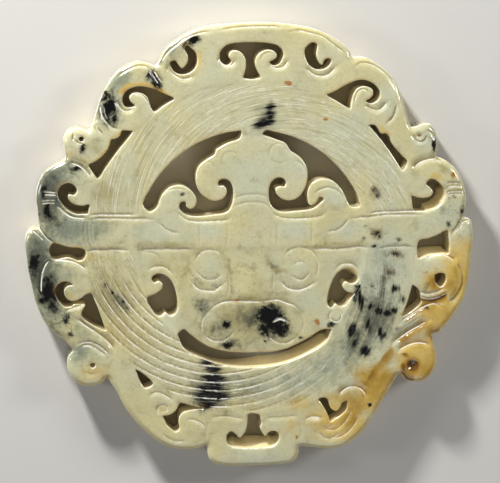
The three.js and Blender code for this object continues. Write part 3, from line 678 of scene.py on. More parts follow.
# where the stone changes: middle on the sheet, half widths in mm, turn in degrees, strength
inkSpots = [
    ((192, 42), 2.4, 1.2, 25, 0.9), ((108, 96), 1.4, 2, -20, 0.8), ((114, 118), 1.2, 1.6, 0, 0.7),
    ((31, 250), 0.8, 1.6, 0, 0.4), ((160, 62), 0.9, 1.6, -35, 0.6), ((300, 338), 0.6, 0.5, 0, 0.6),
    ((332, 324), 1.2, 0.8, 20, 0.8), ((398, 240), 0.8, 0.8, 0, 0.7), ((366, 226), 1, 0.7, 0, 0.6),
    ((402, 300), 0.8, 1.2, 0, 0.7), ((345, 365), 0.8, 0.6, 30, 0.5), ((268, 111), 1.2, 2.4, -20, 0.95),
    ((262, 121), 2.9, 1.5, 25, 1.1), ((269, 117), 1.4, 2.2, -25, 1.1), ((270, 102), 0.8, 1.3, 0, 0.6),
    ((110, 107), 1.9, 3.8, -12, 1), ((154, 78), 1, 2.8, 30, 1), ((148, 74), 1.2, 1.4, 0, 0.6),
    ((45, 188), 0.9, 2.4, 0, 0.9), ((48, 206), 1, 2.6, 10, 1), ((78, 166), 1.3, 0.8, 0, 0.7),
    ((84, 147), 0.9, 1.4, 0, 1), ((36, 262), 1.7, 3.2, -10, 1.1), ((49, 289), 2.2, 4, 8, 1),
    ((54, 303), 1.2, 1.6, 30, 0.7), ((66, 316), 0.8, 1.3, 0, 0.8), ((70, 332), 1, 1, 0, 0.7),
    ((112, 290), 0.5, 0.4, 0, 0.7), ((117, 294), 0.5, 0.5, 0, 0.7), ((123, 299), 0.5, 0.5, 0, 0.8),
    ((126, 306), 0.5, 0.4, 0, 0.7), ((119, 301), 0.4, 0.4, 0, 0.7), ((105, 283), 0.6, 0.8, 0, 0.5),
    ((207, 361), 2.8, 1, 10, 0.9), ((212, 369), 2.6, 1.3, 0, 1), ((213, 378), 2.9, 1.6, 0, 1),
    ((211, 387), 3.8, 1.6, 0, 1.1), ((209, 396), 4.2, 2.2, 4, 1.2), ((208, 404), 3, 1.3, 20, 1),
    ((270, 320), 3.8, 3.8, 20, 1.2), ((280, 327), 2.4, 2.2, 0, 1.1), ((264, 312), 1.8, 1.6, 0, 0.8),
    ((227, 324), 1.4, 1.1, 0, 0.8), ((225, 345), 1.3, 1, 0, 0.8), ((264, 341), 0.5, 0.5, 0, 0.9),
    ((201, 305), 1.6, 1.6, 0, 0.5), ((368, 326), 0.8, 2.2, 0, 0.9), ((370, 307), 1.6, 0.9, 20, 0.95),
    ((379, 312), 1.6, 0.8, -15, 0.95), ((387, 314), 1.4, 0.9, -10, 1), ((393, 311), 1, 0.9, 0, 0.9),
    ((366, 300), 0.7, 0.9, 0, 0.8), ((374, 300), 0.5, 0.7, 0, 0.7), ((359, 298), 0.9, 3.4, 10, 1),
    ((380, 334), 0.7, 2.4, 10, 1), ((352, 331), 1.6, 2.4, 0, 1.1), ((352, 342), 1.4, 1.8, 0, 0.7),
    ((365, 352), 1.4, 1.3, 0, 1.1), ((395, 289), 1.2, 1.2, 0, 0.9), ((371, 286), 0.8, 0.8, 0, 0.8),
    ((372, 190), 1, 0.9, 0, 0.8), ((376, 196), 0.8, 1, 0, 0.9), ((376, 233), 0.8, 0.8, 0, 0.85),
    ((379, 237), 0.6, 0.6, 0, 0.8), ((373, 229), 0.5, 0.5, 0, 0.6), ((363, 238), 0.6, 0.5, 0, 0.8),
    ((395, 254), 1.4, 0.6, -10, 0.85), ((390, 273), 0.9, 0.7, 0, 0.75), ((387, 256), 0.5, 0.5, 0, 0.6),
    ((373, 246), 0.7, 0.5, 0, 1), ((350, 345), 1, 0.8, 40, 0.7), ((384, 336), 1.2, 0.9, 50, 0.8),
    ((355, 300), 0.9, 1.6, 10, 0.7), ((432.5, 145), 0.6, 1.9, 0, 1), ((462, 212), 0.8, 1.3, 0, 0.8),
    ((448, 225), 0.8, 1, 0, 0.8), ((369.5, 406.5), 0.5, 0.5, 0, 1), ((427, 309), 0.45, 0.45, 0, 1),
    ((182, 193), 0.45, 0.35, 30, 0.6),
]
smokeSpots = [
    ((266, 114), 3.6, 3.6, 0, 0.6), ((108, 108), 3.6, 5, 0, 0.5), ((155, 78), 2.4, 3.4, 20, 0.6),
    ((48, 199), 4.6, 7.5, 0, 1), ((40, 264), 4, 8, 0, 0.88), ((50, 176), 4, 6, 0, 0.65),
    ((53, 296), 3, 4.4, 0, 0.8), ((122, 299), 3.2, 2.4, -35, 0.68), ((108, 280), 7, 12, 10, 0.22),
    ((48, 284), 3.4, 6, 0, 0.95), ((55, 266), 3.2, 2.6, 0, 0.45), ((66, 168), 5, 3.4, 30, 0.4),
    ((64, 226), 6, 3.6, 0, 0.15), ((210, 390), 6, 5.4, 0, 0.7), ((272, 320), 5, 5, 0, 0.6),
    ((222, 325), 3.2, 3, 0, 0.55), ((182, 193), 0.7, 0.5, 30, 1), ((225, 345), 3, 2, 0, 0.45),
    ((201, 305), 2.4, 2.4, 0, 0.6), ((250, 316), 6, 3.8, 0, 0.75), ((374, 317), 6, 7, 20, 0.85),
    ((376, 233), 2, 1.8, 0, 0.6), ((396, 254), 2.6, 1.2, -20, 0.65), ((391, 273), 1.8, 1.5, 0, 0.6),
    ((183, 268), 1, 0.8, 0, 0.5), ((274, 267), 1.4, 2, 0, 0.5), ((266, 261), 1.2, 1, 0, 0.4),
    ((362, 239), 1, 0.9, 0, 0.6), ((384, 279), 1.2, 1.2, 0, 0.5), ((402, 256), 1, 0.7, 0, 0.6),
    ((362, 345), 5, 4, 40, 0.6), ((374, 194), 2.4, 2.8, 0, 0.55), ((118, 180), 6, 8, 0, 0.12),
]
greySpots = [
    ((122, 78), 5, 4, 40, 0.7), ((170, 52), 4, 5, -40, 0.6), ((108, 108), 4, 6, 0, 0.6),
    ((92, 350), 6, 4, 0, 0.4), ((365, 300), 6, 12, 0, 0.35), ((340, 350), 7, 5, 40, 0.35),
    ((52, 180), 6, 9, 0, 1), ((40, 245), 5, 5, 0, 1), ((42, 275), 6, 10, 0, 1), ((50, 312), 6, 7, -30, 0.6),
    ((70, 226), 9, 5, 0, 0.85), ((77, 350), 4.5, 3, 20, 0.8), ((90, 334), 7, 4, -40, 0.5),
    ((66, 275), 5, 5, 0, 0.6), ((172, 48), 6, 2, 40, 0.8), ((118, 80), 6, 2, 45, 0.8),
    ((102, 106), 2, 5, -20, 0.7), ((382, 265), 7, 9, 0, 0.4), ((350, 345), 6, 6, 40, 0.6),
    ((300, 378), 9, 4, 20, 0.45), ((330, 365), 9, 5, 40, 0.5), ((372, 315), 6, 10, -20, 0.45),
    ((245, 385), 9, 5, 0, 0.45), ((248, 345), 10, 3, 0, 0.3), ((428, 138), 3, 3.5, 0, 0.45),
    ((185, 405), 2.2, 1.2, -15, 0.9), ((415, 318), 5, 2.2, 38, 0.4), ((450, 210), 4, 6, 0, 0.35),
    ((100, 345), 6, 4, 30, 0.1),
]
goldSpots = [
    ((198, 60), 1, 3, 0, 0.5), ((88, 158), 4, 1.2, 0, 0.3), ((73, 152), 3, 2.6, 0, 0.3),
    ((88, 255), 3, 2, 0, 0.3), ((70, 292), 2, 1.2, 0, 0.4), ((85, 205), 1.6, 1.6, 0, 0.4),
    ((458, 275), 5, 9.5, 0, 0.85), ((464, 248), 3, 4, 0, 0.5), ((440, 315), 6, 5, 0, 1),
    ((421, 360), 6.5, 6.5, 0, 1), ((375, 387), 5, 5.6, 0, 1), ((366, 402), 3.6, 4, 0, 0.8),
    ((338, 420), 8, 6, 0, 0.9), ((300, 405), 6, 3, 0, 0.45), ((94, 372), 5, 3.4, 0, 0.45),
    ((112, 335), 6, 7, 0, 0.3), ((436, 177), 3, 1.2, -20, 0.5), ((290, 425), 5, 5, 0, 0.35),
    ((440, 285), 5, 5, 0, 0.8), ((140, 330), 6, 6, 0, 0.2), ((132, 84), 5, 1.8, 0, 0.25),
]
brownSpots = [
    # the patch at (450, 286), right of the wing's hole, is painted shade
    ((413, 367), 1.7, 1.7, 0, 1.6), ((434, 283), 1.6, 2.2, 0, 0.6), ((450, 286), 1.4, 2.6, -15, 0.4),
    ((405, 356), 0.9, 0.4, -15, 1.1), ((376, 233), 1.8, 1.6, 0, 0.3), ((396, 254), 2.2, 1.2, 0, 0.25),
    ((390, 273), 1.8, 1.6, 0, 0.22), ((374, 193), 1.8, 2.2, 0, 0.28), ((370, 388), 5, 6, -30, 0.35),
    ((355, 405), 4, 4, 0, 0.4), ((351, 420), 2.2, 3.2, -30, 0.4), ((424, 373), 3.6, 2.8, 0, 0.34),
    ((385, 379), 2.4, 2.6, 0, 0.42), ((431, 332), 2.6, 1.8, 30, 0.5), ((425, 308), 1, 0.8, 0, 0.9),
    ((418, 136), 0.7, 0.5, 0, 0.5), ((452, 175), 0.6, 0.8, 0, 0.8), ((160, 407), 1.4, 1.1, 0, 0.2),
    ((126, 90), 1.2, 1, 30, 0.25), ((345, 402), 2, 2, 0, 0.35), ((425, 345), 3, 1.2, 20, 0.25),
    ((122, 299), 2.6, 2, -35, 0.14),
]
# tints that fade away to the left hand of a line: points on the sheet, how far, strength
russetAndShadeEdges = [
    ([(394, 345), (385, 356), (376, 368), (366, 382), (358, 391)], 2.0, 0.62),
    # painted shade in russet between the wing's curl and the outer wing
    ([(446, 301), (453, 295), (457, 285), (457, 273), (452, 264)], 1.8, 0.28),
    ([(442, 308), (434, 305), (426, 307), (414, 314), (402, 323)], 1.4, 0.4),
    # painted shade in russet under the lip
    ([(448, 294), (437, 299.5), (426, 301), (416, 298)], 1.4, 0.85),
    ([(430, 321), (420, 327), (408, 334), (396, 344)], 1.6, 0.6),
    ([(440, 329), (434, 335), (430, 342)], 1.4, 0.7),
    ([(404, 362), (402, 371), (407, 380), (416, 383)], 1.6, 0.9),
]
goldEdges = [
    ([(121, 99), (123, 91), (132, 85), (145, 84.5), (156, 88), (170, 96)], 0.8, 0.95),
    ([(90, 162), (100, 156), (108, 147), (112, 137), (122, 131), (133, 127)], 0.7, 0.5),
    ([(392, 137), (384, 130), (374, 124)], 1.8, 0.45),
    ([(54, 238), (62, 241.5), (74, 243.5), (86, 246)], 0.6, 0.35),
    ([(68, 192), (72, 198), (80, 200.5), (88, 199)], 0.6, 0.35),
    ([(64, 283), (67, 290), (72, 295), (80, 296), (87, 290)], 0.6, 0.35),
]
oliveSpots = [
    ((250, 320), 13, 8, 0, 1.1), ((110, 160), 8, 12, 30, 0.4), ((108, 195), 6, 9, 0, 0.8),
    # the thin ones at (165, 243), (355, 244) and (100, 246) make a darker line along the brow band's lower
    # edge
    ((250, 285), 7, 6, 0, 0.45), ((165, 243), 10, 1, 0, 0.9), ((355, 244), 9, 1, 0, 0.8),
    ((100, 246), 6, 1, 0, 0.9), ((120, 235), 8, 4, 0, 0.35), ((112, 300), 6, 13, 15, 1),
    ((135, 340), 9, 8, -30, 0.6), ((121, 321), 3.6, 4, 0, 0.9), ((150, 345), 9, 6, -30, 0.4),
    ((240, 270), 16, 10, 0, 0.35), ((190, 250), 8, 6, 0, 0.4), ((330, 400), 9, 4, 20, 0.6),
    ((225, 350), 9, 3, 0, 0.6), ((300, 345), 8, 3, 0, 0.5), ((165, 265), 6, 8, 0, 0.3),
    ((250, 400), 12, 5, 0, 0.4), ((250, 344), 8, 3, 0, 0.6), ((95, 150), 4, 4, 0, 0.5),
    ((140, 290), 6, 6, 0, 0.5), ((420, 205), 5, 4, 0, 0.35), ((444, 169), 2.5, 1.2, -30, 0.9),
    ((414, 172), 1.4, 3, 0, 0.9), ((230, 430), 6, 4, 0, 0.35),
]
milkSpots = [
    ((209, 229), 4.5, 3, 0, 0.9), ((294, 229), 5, 3, 0, 0.9), ((250, 180), 8, 8, 0, 0.7),
    ((210, 263), 3.6, 3.6, 0, 0.5), ((298, 268), 3.5, 3.5, 0, 0.6), ((150, 230), 9, 3, 0, 0.6),
    ((350, 230), 6, 3, 0, 0.7), ((380, 275), 7, 12, -10, 1), ((385, 180), 6, 10, 0, 0.7),
    ((345, 132), 9, 8, 0, 0.8), ((300, 168), 6, 5, 0, 0.7), ((385, 100), 4, 5, 0, 0.7),
    ((280, 385), 7, 5, 0, 0.6), ((190, 235), 6, 2.5, 0, 0.5), ((433, 295), 3.4, 0.9, 8, 0.9),
    ((462, 234), 2.4, 3.6, 0, 0.55), ((426, 270), 4, 3, 0, 0.5), ((418, 316), 4, 1.2, 35, 0.6),
    ((330, 60), 8, 6, -30, 0.5), ((308, 300), 4, 4, 0, 0.7), ((310, 375), 8, 4, 25, 0.7),
    ((170, 190), 4, 3, 0, 0.6), ((335, 195), 4, 3, 0, 1), ((164, 315), 4, 7, 30, 0.8),
    ((425, 140), 4, 4, 0, 0.8), ((101, 345), 4, 2.6, -30, 0.8), ((312, 421), 3, 1.6, 0, 0.9),
    ((250, 455), 9, 3, 0, 0.6), ((440, 215), 6, 3, 0, 0.6), ((378, 330), 4, 8, -20, 0.6),
]
# brown lines: strength, half width, points on the sheet. Most are veins about the eyes and nose; four run
# along the brow band's lower edge and darken it there
brownLines = [
    (0.9, 0.7, [(184, 262), (188, 268), (193, 275), (199, 282), (207, 288)]),
    (0.8, 0.6, [(228, 252), (228, 262), (230, 275), (231, 290), (229, 302)]),
    (0.9, 0.9, [(266, 250), (270, 262), (275, 270), (282, 269), (292, 272)]),
    (1.0, 0.6, [(284, 247), (300, 246.5), (318, 245.5), (336, 243), (350, 242.5)]),
    (0.8, 0.5, [(130, 245.5), (145, 246), (160, 245), (178, 246), (196, 246)]),
    (0.8, 0.5, [(88, 245), (100, 245.6), (114, 245.4), (128, 245)]),
    (0.7, 1.2, [(236, 226), (246, 224), (256, 230), (262, 240)]),
    (0.6, 0.8, [(272, 286), (274, 296), (270, 304)]),
    (0.8, 0.6, [(370, 246), (384, 245.5), (398, 244.5), (412, 243)]),
    (0.7, 0.8, [(222, 302), (232, 297), (246, 296), (262, 297)]),
    (0.7, 0.7, [(190, 258), (186, 266), (182, 276)]),
]
# painted glints, in the same columns
glintSpots = [
    ((433, 294.5), 3.2, 0.7, 6, 0.55), ((316, 420.5), 2.4, 0.8, 0, 0.6), ((440, 305), 1.6, 0.45, -12, 0.5),
    ((345, 130), 0.5, 0.3, 0, 0.5), ((196, 421), 1.6, 0.4, -20, 0.4), ((92, 344), 2, 0.5, -20, 0.4),
]
rustSpots = [
    ((287, 83), 1.1, 0.6, -10, 1), ((324, 119), 0.6, 0.45, 0, 1), ((236, 299.5), 0.65, 0.55, 0, 1),
    ((316.5, 322), 0.6, 0.9, 30, 1), ((296, 438), 0.4, 0.7, 0, 1),
]
pepperSpots = [
    ((376, 234), 2.4, 2, 0, 1), ((396, 254), 2.4, 1.4, -20, 0.6), ((392, 273), 1.6, 1.6, 0, 0.5),
    ((378, 312), 6, 9, -15, 1), ((378, 195), 4, 6, 0, 0.5), ((46, 200), 4, 8, 0, 0.8),
    ((51, 286), 3.4, 6.5, 0, 0.9), ((62, 317), 4, 5, 0, 0.7), ((44, 192), 3, 5, 0, 0.8),
    ((68, 228), 7, 4, 0, 0.6), ((62, 172), 5, 4, 0, 0.6), ((122, 299), 3.4, 2.8, -35, 1),
    ((235, 275), 14, 10, 0, 0.35), ((225, 335), 8, 4, 0, 0.6), ((455, 200), 4, 9, 0, 0.6),
    ((210, 390), 6, 5, 0, 0.8), ((360, 345), 6, 5, 40, 0.8), ((430, 290), 6, 5, 0, 0.5),
    ((80, 165), 4, 4, 0, 0.5),
]


stainForm = {
    "reach": 1.6,              # a hard patch fades out at this many half widths
    "step": 0.4,               # spacing of the points along a stained edge or a brown line
    "edgeReach": 2.5,          # how far to look beside it, in widths
    "brownLineReach": 3,
    "farSide": 0.3,            # how far an edge stain runs over to the other side
    "edgeCurve": 1.6,
}
edgeLook = {
    "outline": 0.55,           # painted highlight on an edge that stands sideways to the light
    "opening": 0.4,
    "turned": 0.45,            # what it gains towards the light and loses away from it
    "least": 0.08,
    "shineWide": 0.2,
    "glow": 0.5,
    "glowWide": 0.6,
    "back": (0.5, 0.4),        # painted highlight on the edges behind: strength and width
    "wallGlow": 0.2,
    "footLight": 0.4,          # share of the painted glow that still shows at a wall's foot
}
# the stone's grain follows the strands on the ring and has no direction elsewhere
grainForm = {"from": 0.5, "across": 2.4, "along": 16, "plain": 1.6, "depth": 3}
# the strands are polished away at the right and below, and show more in the upper half
strandShow = {"polished": 0.55, "right": (5, 25), "low": (-8, 4), "more": 0.5, "high": (9, 16)}


def stain(points, patches, hard=False):
    # 1 at a patch's middle, falling to 0 at its edge
    total = np.zeros(len(points))
    reach = stainForm["reach"]
    for middle, wideX, wideY, turn, strength in patches:
        x, y = (points - onDisc([middle])[0]).T
        c, s = math.cos(math.radians(turn)), math.sin(math.radians(turn))
        away = np.sqrt(((x * c + y * s) / wideX) ** 2 + ((y * c - x * s) / wideY) ** 2)
        share = np.clip(reach - away, 0, reach) / reach if hard else np.exp(-away ** 2)
        total = np.maximum(total, strength * share)
    return total


def edgeStain(points, edges):
    total = np.zeros(len(points))
    for path, reach, strength in edges:
        path = along(onDisc(path), stainForm["step"])
        near, gap, _, left, fade = besidePath(points, path, stainForm["edgeReach"] * reach)
        away = (gap / np.where(left, reach, stainForm["farSide"])) ** stainForm["edgeCurve"]
        total[near] = np.maximum(total[near], strength * fade * np.exp(-away))
    return total


def brownLined(points):
    total = np.zeros(len(points))
    for strength, wide, path in brownLines:
        path = along(onDisc(path), stainForm["step"])
        near, gap, _, _, fade = besidePath(points, path, stainForm["brownLineReach"] * wide)
        total[near] = np.maximum(total[near], strength * fade * bell(gap, wide))
    return total


# painted highlight on edges that face the light, and painted glow on the edges on the far side, as if light
# came through them
litFrom = np.array(discForm["litFrom"])
nearRim = rim.nearest(topSpots)[1]
facing = rim.inward[nearRim] @ litFrom
edgeShine = np.where(rim.isOuter[nearRim], edgeLook["outline"], edgeLook["opening"])
edgeShine = np.clip(edgeShine - edgeLook["turned"] * facing, edgeLook["least"], 1)
edgeShine *= bell(topGap, edgeLook["shineWide"])
edgeGlow = edgeLook["glow"] * (np.clip(facing, 0, 1) * bell(topGap, edgeLook["glowWide"]))
faceHighlight = np.maximum(np.maximum(topBright, edgeShine), stain(topSpots, glintSpots))
backShine, backWide = edgeLook["back"]
# painted glow in the walls of the openings that face the light, more where they slant
wallLight = np.where(rim.isOuter, 0, np.clip(-rim.inward @ litFrom, 0, 1))
wallLight += slantLook["light"] * np.hypot(*lean.T)
onFace, onBack, onWalls = np.zeros(topCount), np.zeros(backCount), np.zeros(2 * rimCount)
flat = spots[:, :2]
marks = {
    "ink": stain(flat, inkSpots, True),
    "smoke": stain(flat, smokeSpots),
    "grey": stain(flat, greySpots),
    "olive": stain(flat, oliveSpots),
    "gold": np.maximum(stain(flat, goldSpots), edgeStain(flat, goldEdges)),
    "brown": np.maximum(stain(flat, brownSpots), edgeStain(flat, russetAndShadeEdges)),
    "milk": stain(flat, milkSpots),
    "brownLine": brownLined(flat),
    "rust": stain(flat, rustSpots, True),
    "pepper": stain(flat, pepperSpots),
    # painted highlight, painted shade, painted glow at the far edges and in the walls, where the walls are,
    # and the emitted glow
    "paintedHighlight": np.concatenate([faceHighlight, backShine * bell(backGap, backWide), onWalls]),
    "shade": np.concatenate([topShade, onBack, onWalls]),
    "paintedGlow": np.concatenate([edgeGlow, onBack, onWalls + edgeLook["wallGlow"]]),
    "wall": np.concatenate([onFace, onBack, onWalls + 1]),
    "through": np.concatenate([onFace, onBack, wallLight, edgeLook["footLight"] * wallLight]),
}
x, y = flat.T
polished = strandShow["polished"] * ramp(x, *strandShow["right"]) * ramp(-y, *strandShow["low"])
onRing = ringShare(flat)
marks["ring"] = (1 - polished + strandShow["more"] * ramp(y, *strandShow["high"])) * onRing
for name, values in marks.items():
    mesh.attributes.new(name, "FLOAT", "POINT").data.foreach_set("value", values)
radius, angle, strand = ropePlace(flat)
ringGrain = np.column_stack([strand * grainForm["across"], np.radians(angle) * radius / grainForm["along"],
                             spots[:, 2] / grainForm["depth"]])
plainGrain = spots / (grainForm["plain"], grainForm["plain"], grainForm["depth"])
grain = np.where((onRing > grainForm["from"])[:, None], ringGrain, plainGrain)
mesh.attributes.new("grain", "FLOAT_VECTOR", "POINT").data.foreach_set("vector", grain.ravel())
print("stone marks:", ", ".join(marks))

jadeFinish = {
    "cream": (0.640, 0.598, 0.346, 1),
    "pale": (0.600, 0.600, 0.418, 1),
    "milk": (0.590, 0.615, 0.470, 1),
    "ochre": (0.300, 0.225, 0.080, 1),
    "olive": (0.400, 0.355, 0.165, 1),
    "umber": (0.170, 0.125, 0.050, 1),   # brown specks
    "mist": (0.214, 0.250, 0.190, 1),    # clear grey-green stone
    "gold": (0.655, 0.472, 0.130, 1),
    "amber": (0.430, 0.260, 0.038, 1),
    "brown": (0.150, 0.060, 0.008, 1),
    "smoke": (0.082, 0.086, 0.062, 1),
    "ink": (0.002, 0.002, 0.002, 1),
    "rust": (0.420, 0.170, 0.040, 1),
    "paintedShade": (0.600, 0.500, 0.300, 1),  # painted shade in and beside the cut lines, down their carved slopes and beside the strands
    "sawnAndLitWall": (0.800, 0.700, 0.440, 1),    # walls of the openings: sawn stone, painted lighter for the light that comes through it
    "glow": (0.660, 0.420, 0.140, 1),    # painted glow of thin edges with the light behind them
    "highlightAndHairline": (1.000, 0.985, 0.880, 1),   # painted highlight on edges, carved lines and strands, and also the pale hairlines on the ring
}
jadeBody = {
    "Subsurface Weight": 0.45,
    "Subsurface Radius": (1.0, 0.85, 0.4),
    "Subsurface Scale": 0.005,
    "IOR": 1.61,
    "Coat Weight": 0.5,
    "Coat Roughness": 0.07,
    "Emission Color": (1.000, 0.800, 0.380, 1),   # painted glow, given off in place of light that has come through the stone
}
# noises of the stone, and those that run along its grain: scale, detail, roughness, twist
stoneNoises = {
    "cloud": (38, 4, 0.55, 0.8),         # broad clouds
    "patch": (95, 4, 0.6, 0.6),
    "mottle": (260, 5, 0.62, 0.4),       # millimetre mottling
    "fine": (1100, 4, 0.65, 0.0),
    "grit": (3000, 2, 0.6, 0.0),
    "speck": (1500, 2, 0.5, 0.0),
}
grainNoises = {"streak": (0.55, 5, 0.62, 0.3), "silk": (2.2, 4, 0.65, 0.0), "hair": (4.5, 3, 0.6, 0.0)}
# Tints in the order they are laid on: kind, mark, where the tint starts and is full, the most it covers and
# its noises. A spread tint follows one noise, on its mark if it has one. A frayed one is its mark, with an
# edge that follows each noise by so much, and a dark one also keeps to its own patches.
stoneTints = [
    ("olive", "spread", None, 0.45, 0.72, 0.24, "patch"),
    ("olive", "spread", None, 0.5, 0.74, 0.3, "mottle"),
    ("olive", "frayed", "olive", 0.15, 1.0, 0.75, {"mottle": 1.6, "fine": 0.5}),
    ("milk", "frayed", "milk", 0.1, 0.9, 0.8, {"patch": 0.8, "mottle": 0.6}),
    ("ochre", "frayed", "brownLine", 0.3, 1.3, 0.6, {"mottle": 2.2, "fine": 1.2}),
    ("mist", "frayed", "grey", 0.02, 0.95, 0.95, {"mottle": 1.2, "fine": 0.9}),
    ("gold", "frayed", "gold", 0.1, 0.75, 0.95, {"mottle": 0.8}),
    ("amber", "frayed", "brown", 0.03, 0.45, 0.9, {"mottle": 0.5}),
    ("brown", "frayed", "brown", 0.35, 0.95, 0.95, {"mottle": 0.9}),
    ("olive", "spread", "ring", 0.46, 0.72, 0.5, "silk"),
    ("highlightAndHairline", "spread", "ring", 0.54, 0.72, 0.42, "hair"),
]
darkTints = [
    ("smoke", "dark", "smoke", 0.1, 0.85, 0.8, {"streak": 1.2, "fine": 0.7}),
    ("ink", "spread", "pepper", 0.57, 0.66, 0.85, "streak"),
    ("smoke", "dark", "ink", 0.06, 0.7, 0.8, {"streak": 1.0, "silk": 0.9}),
    ("ink", "dark", "ink", 0.34, 0.72, 1.0, {"streak": 1.5, "silk": 0.9}),
    ("highlightAndHairline", "spread", "ring", 0.58, 0.74, 0.35, "hair"),
    ("rust", "dark", "rust", 0.22, 0.6, 0.9, {"fine": 1.0}),
]
# groups of four are a noise's low and high end and what they give
jadeSurface = {
    "clouds": (0.36, 0.64, 0.0, 1.0),    # pale stone in the cream
    "amber": (0.48, 0.7, 0.0, 0.5),      # amber in the gold
    "shades": {"fine": (0.25, 0.75, 0.94, 1.05), "grit": (0.25, 0.75, 0.96, 1.04)},
    "dust": (0.6, 0.7, 0.0, 0.75),       # specks where the pepper is, and a few all over
    "dustAllOver": 0.2,
    "darkEdge": 0.22,                    # the mark at which a dark tint is at its full strength
    # strength of the painted shade and of the lighter wall colour, and the noise range of the painted glow
    "paintedShade": 0.75,
    "sawnAndLitWall": 0.6,
    "glow": (0.35, 0.6, 0.2, 0.8),
    # noises that break the painted highlight up and its ranges, then the strength of the emitted glow
    "worn": {"mottle": 0.6, "fine": 0.4},
    "highlightBreakup": (0.38, 0.56, 0.35, 1.0),
    "paintedHighlight": (0.12, 0.9, 0.0, 0.95),
    "through": 0.17,
    "throughMottle": (0.3, 0.7, 0.6, 1.0),
    "roughness": (0.3, 0.75, 0.11, 0.27),
    "relief": {"mottle": 0.4, "fine": 0.15},
    "strandRelief": 0.5,
    "bump": 0.25,
    "bumpDepth": 0.0004,
}


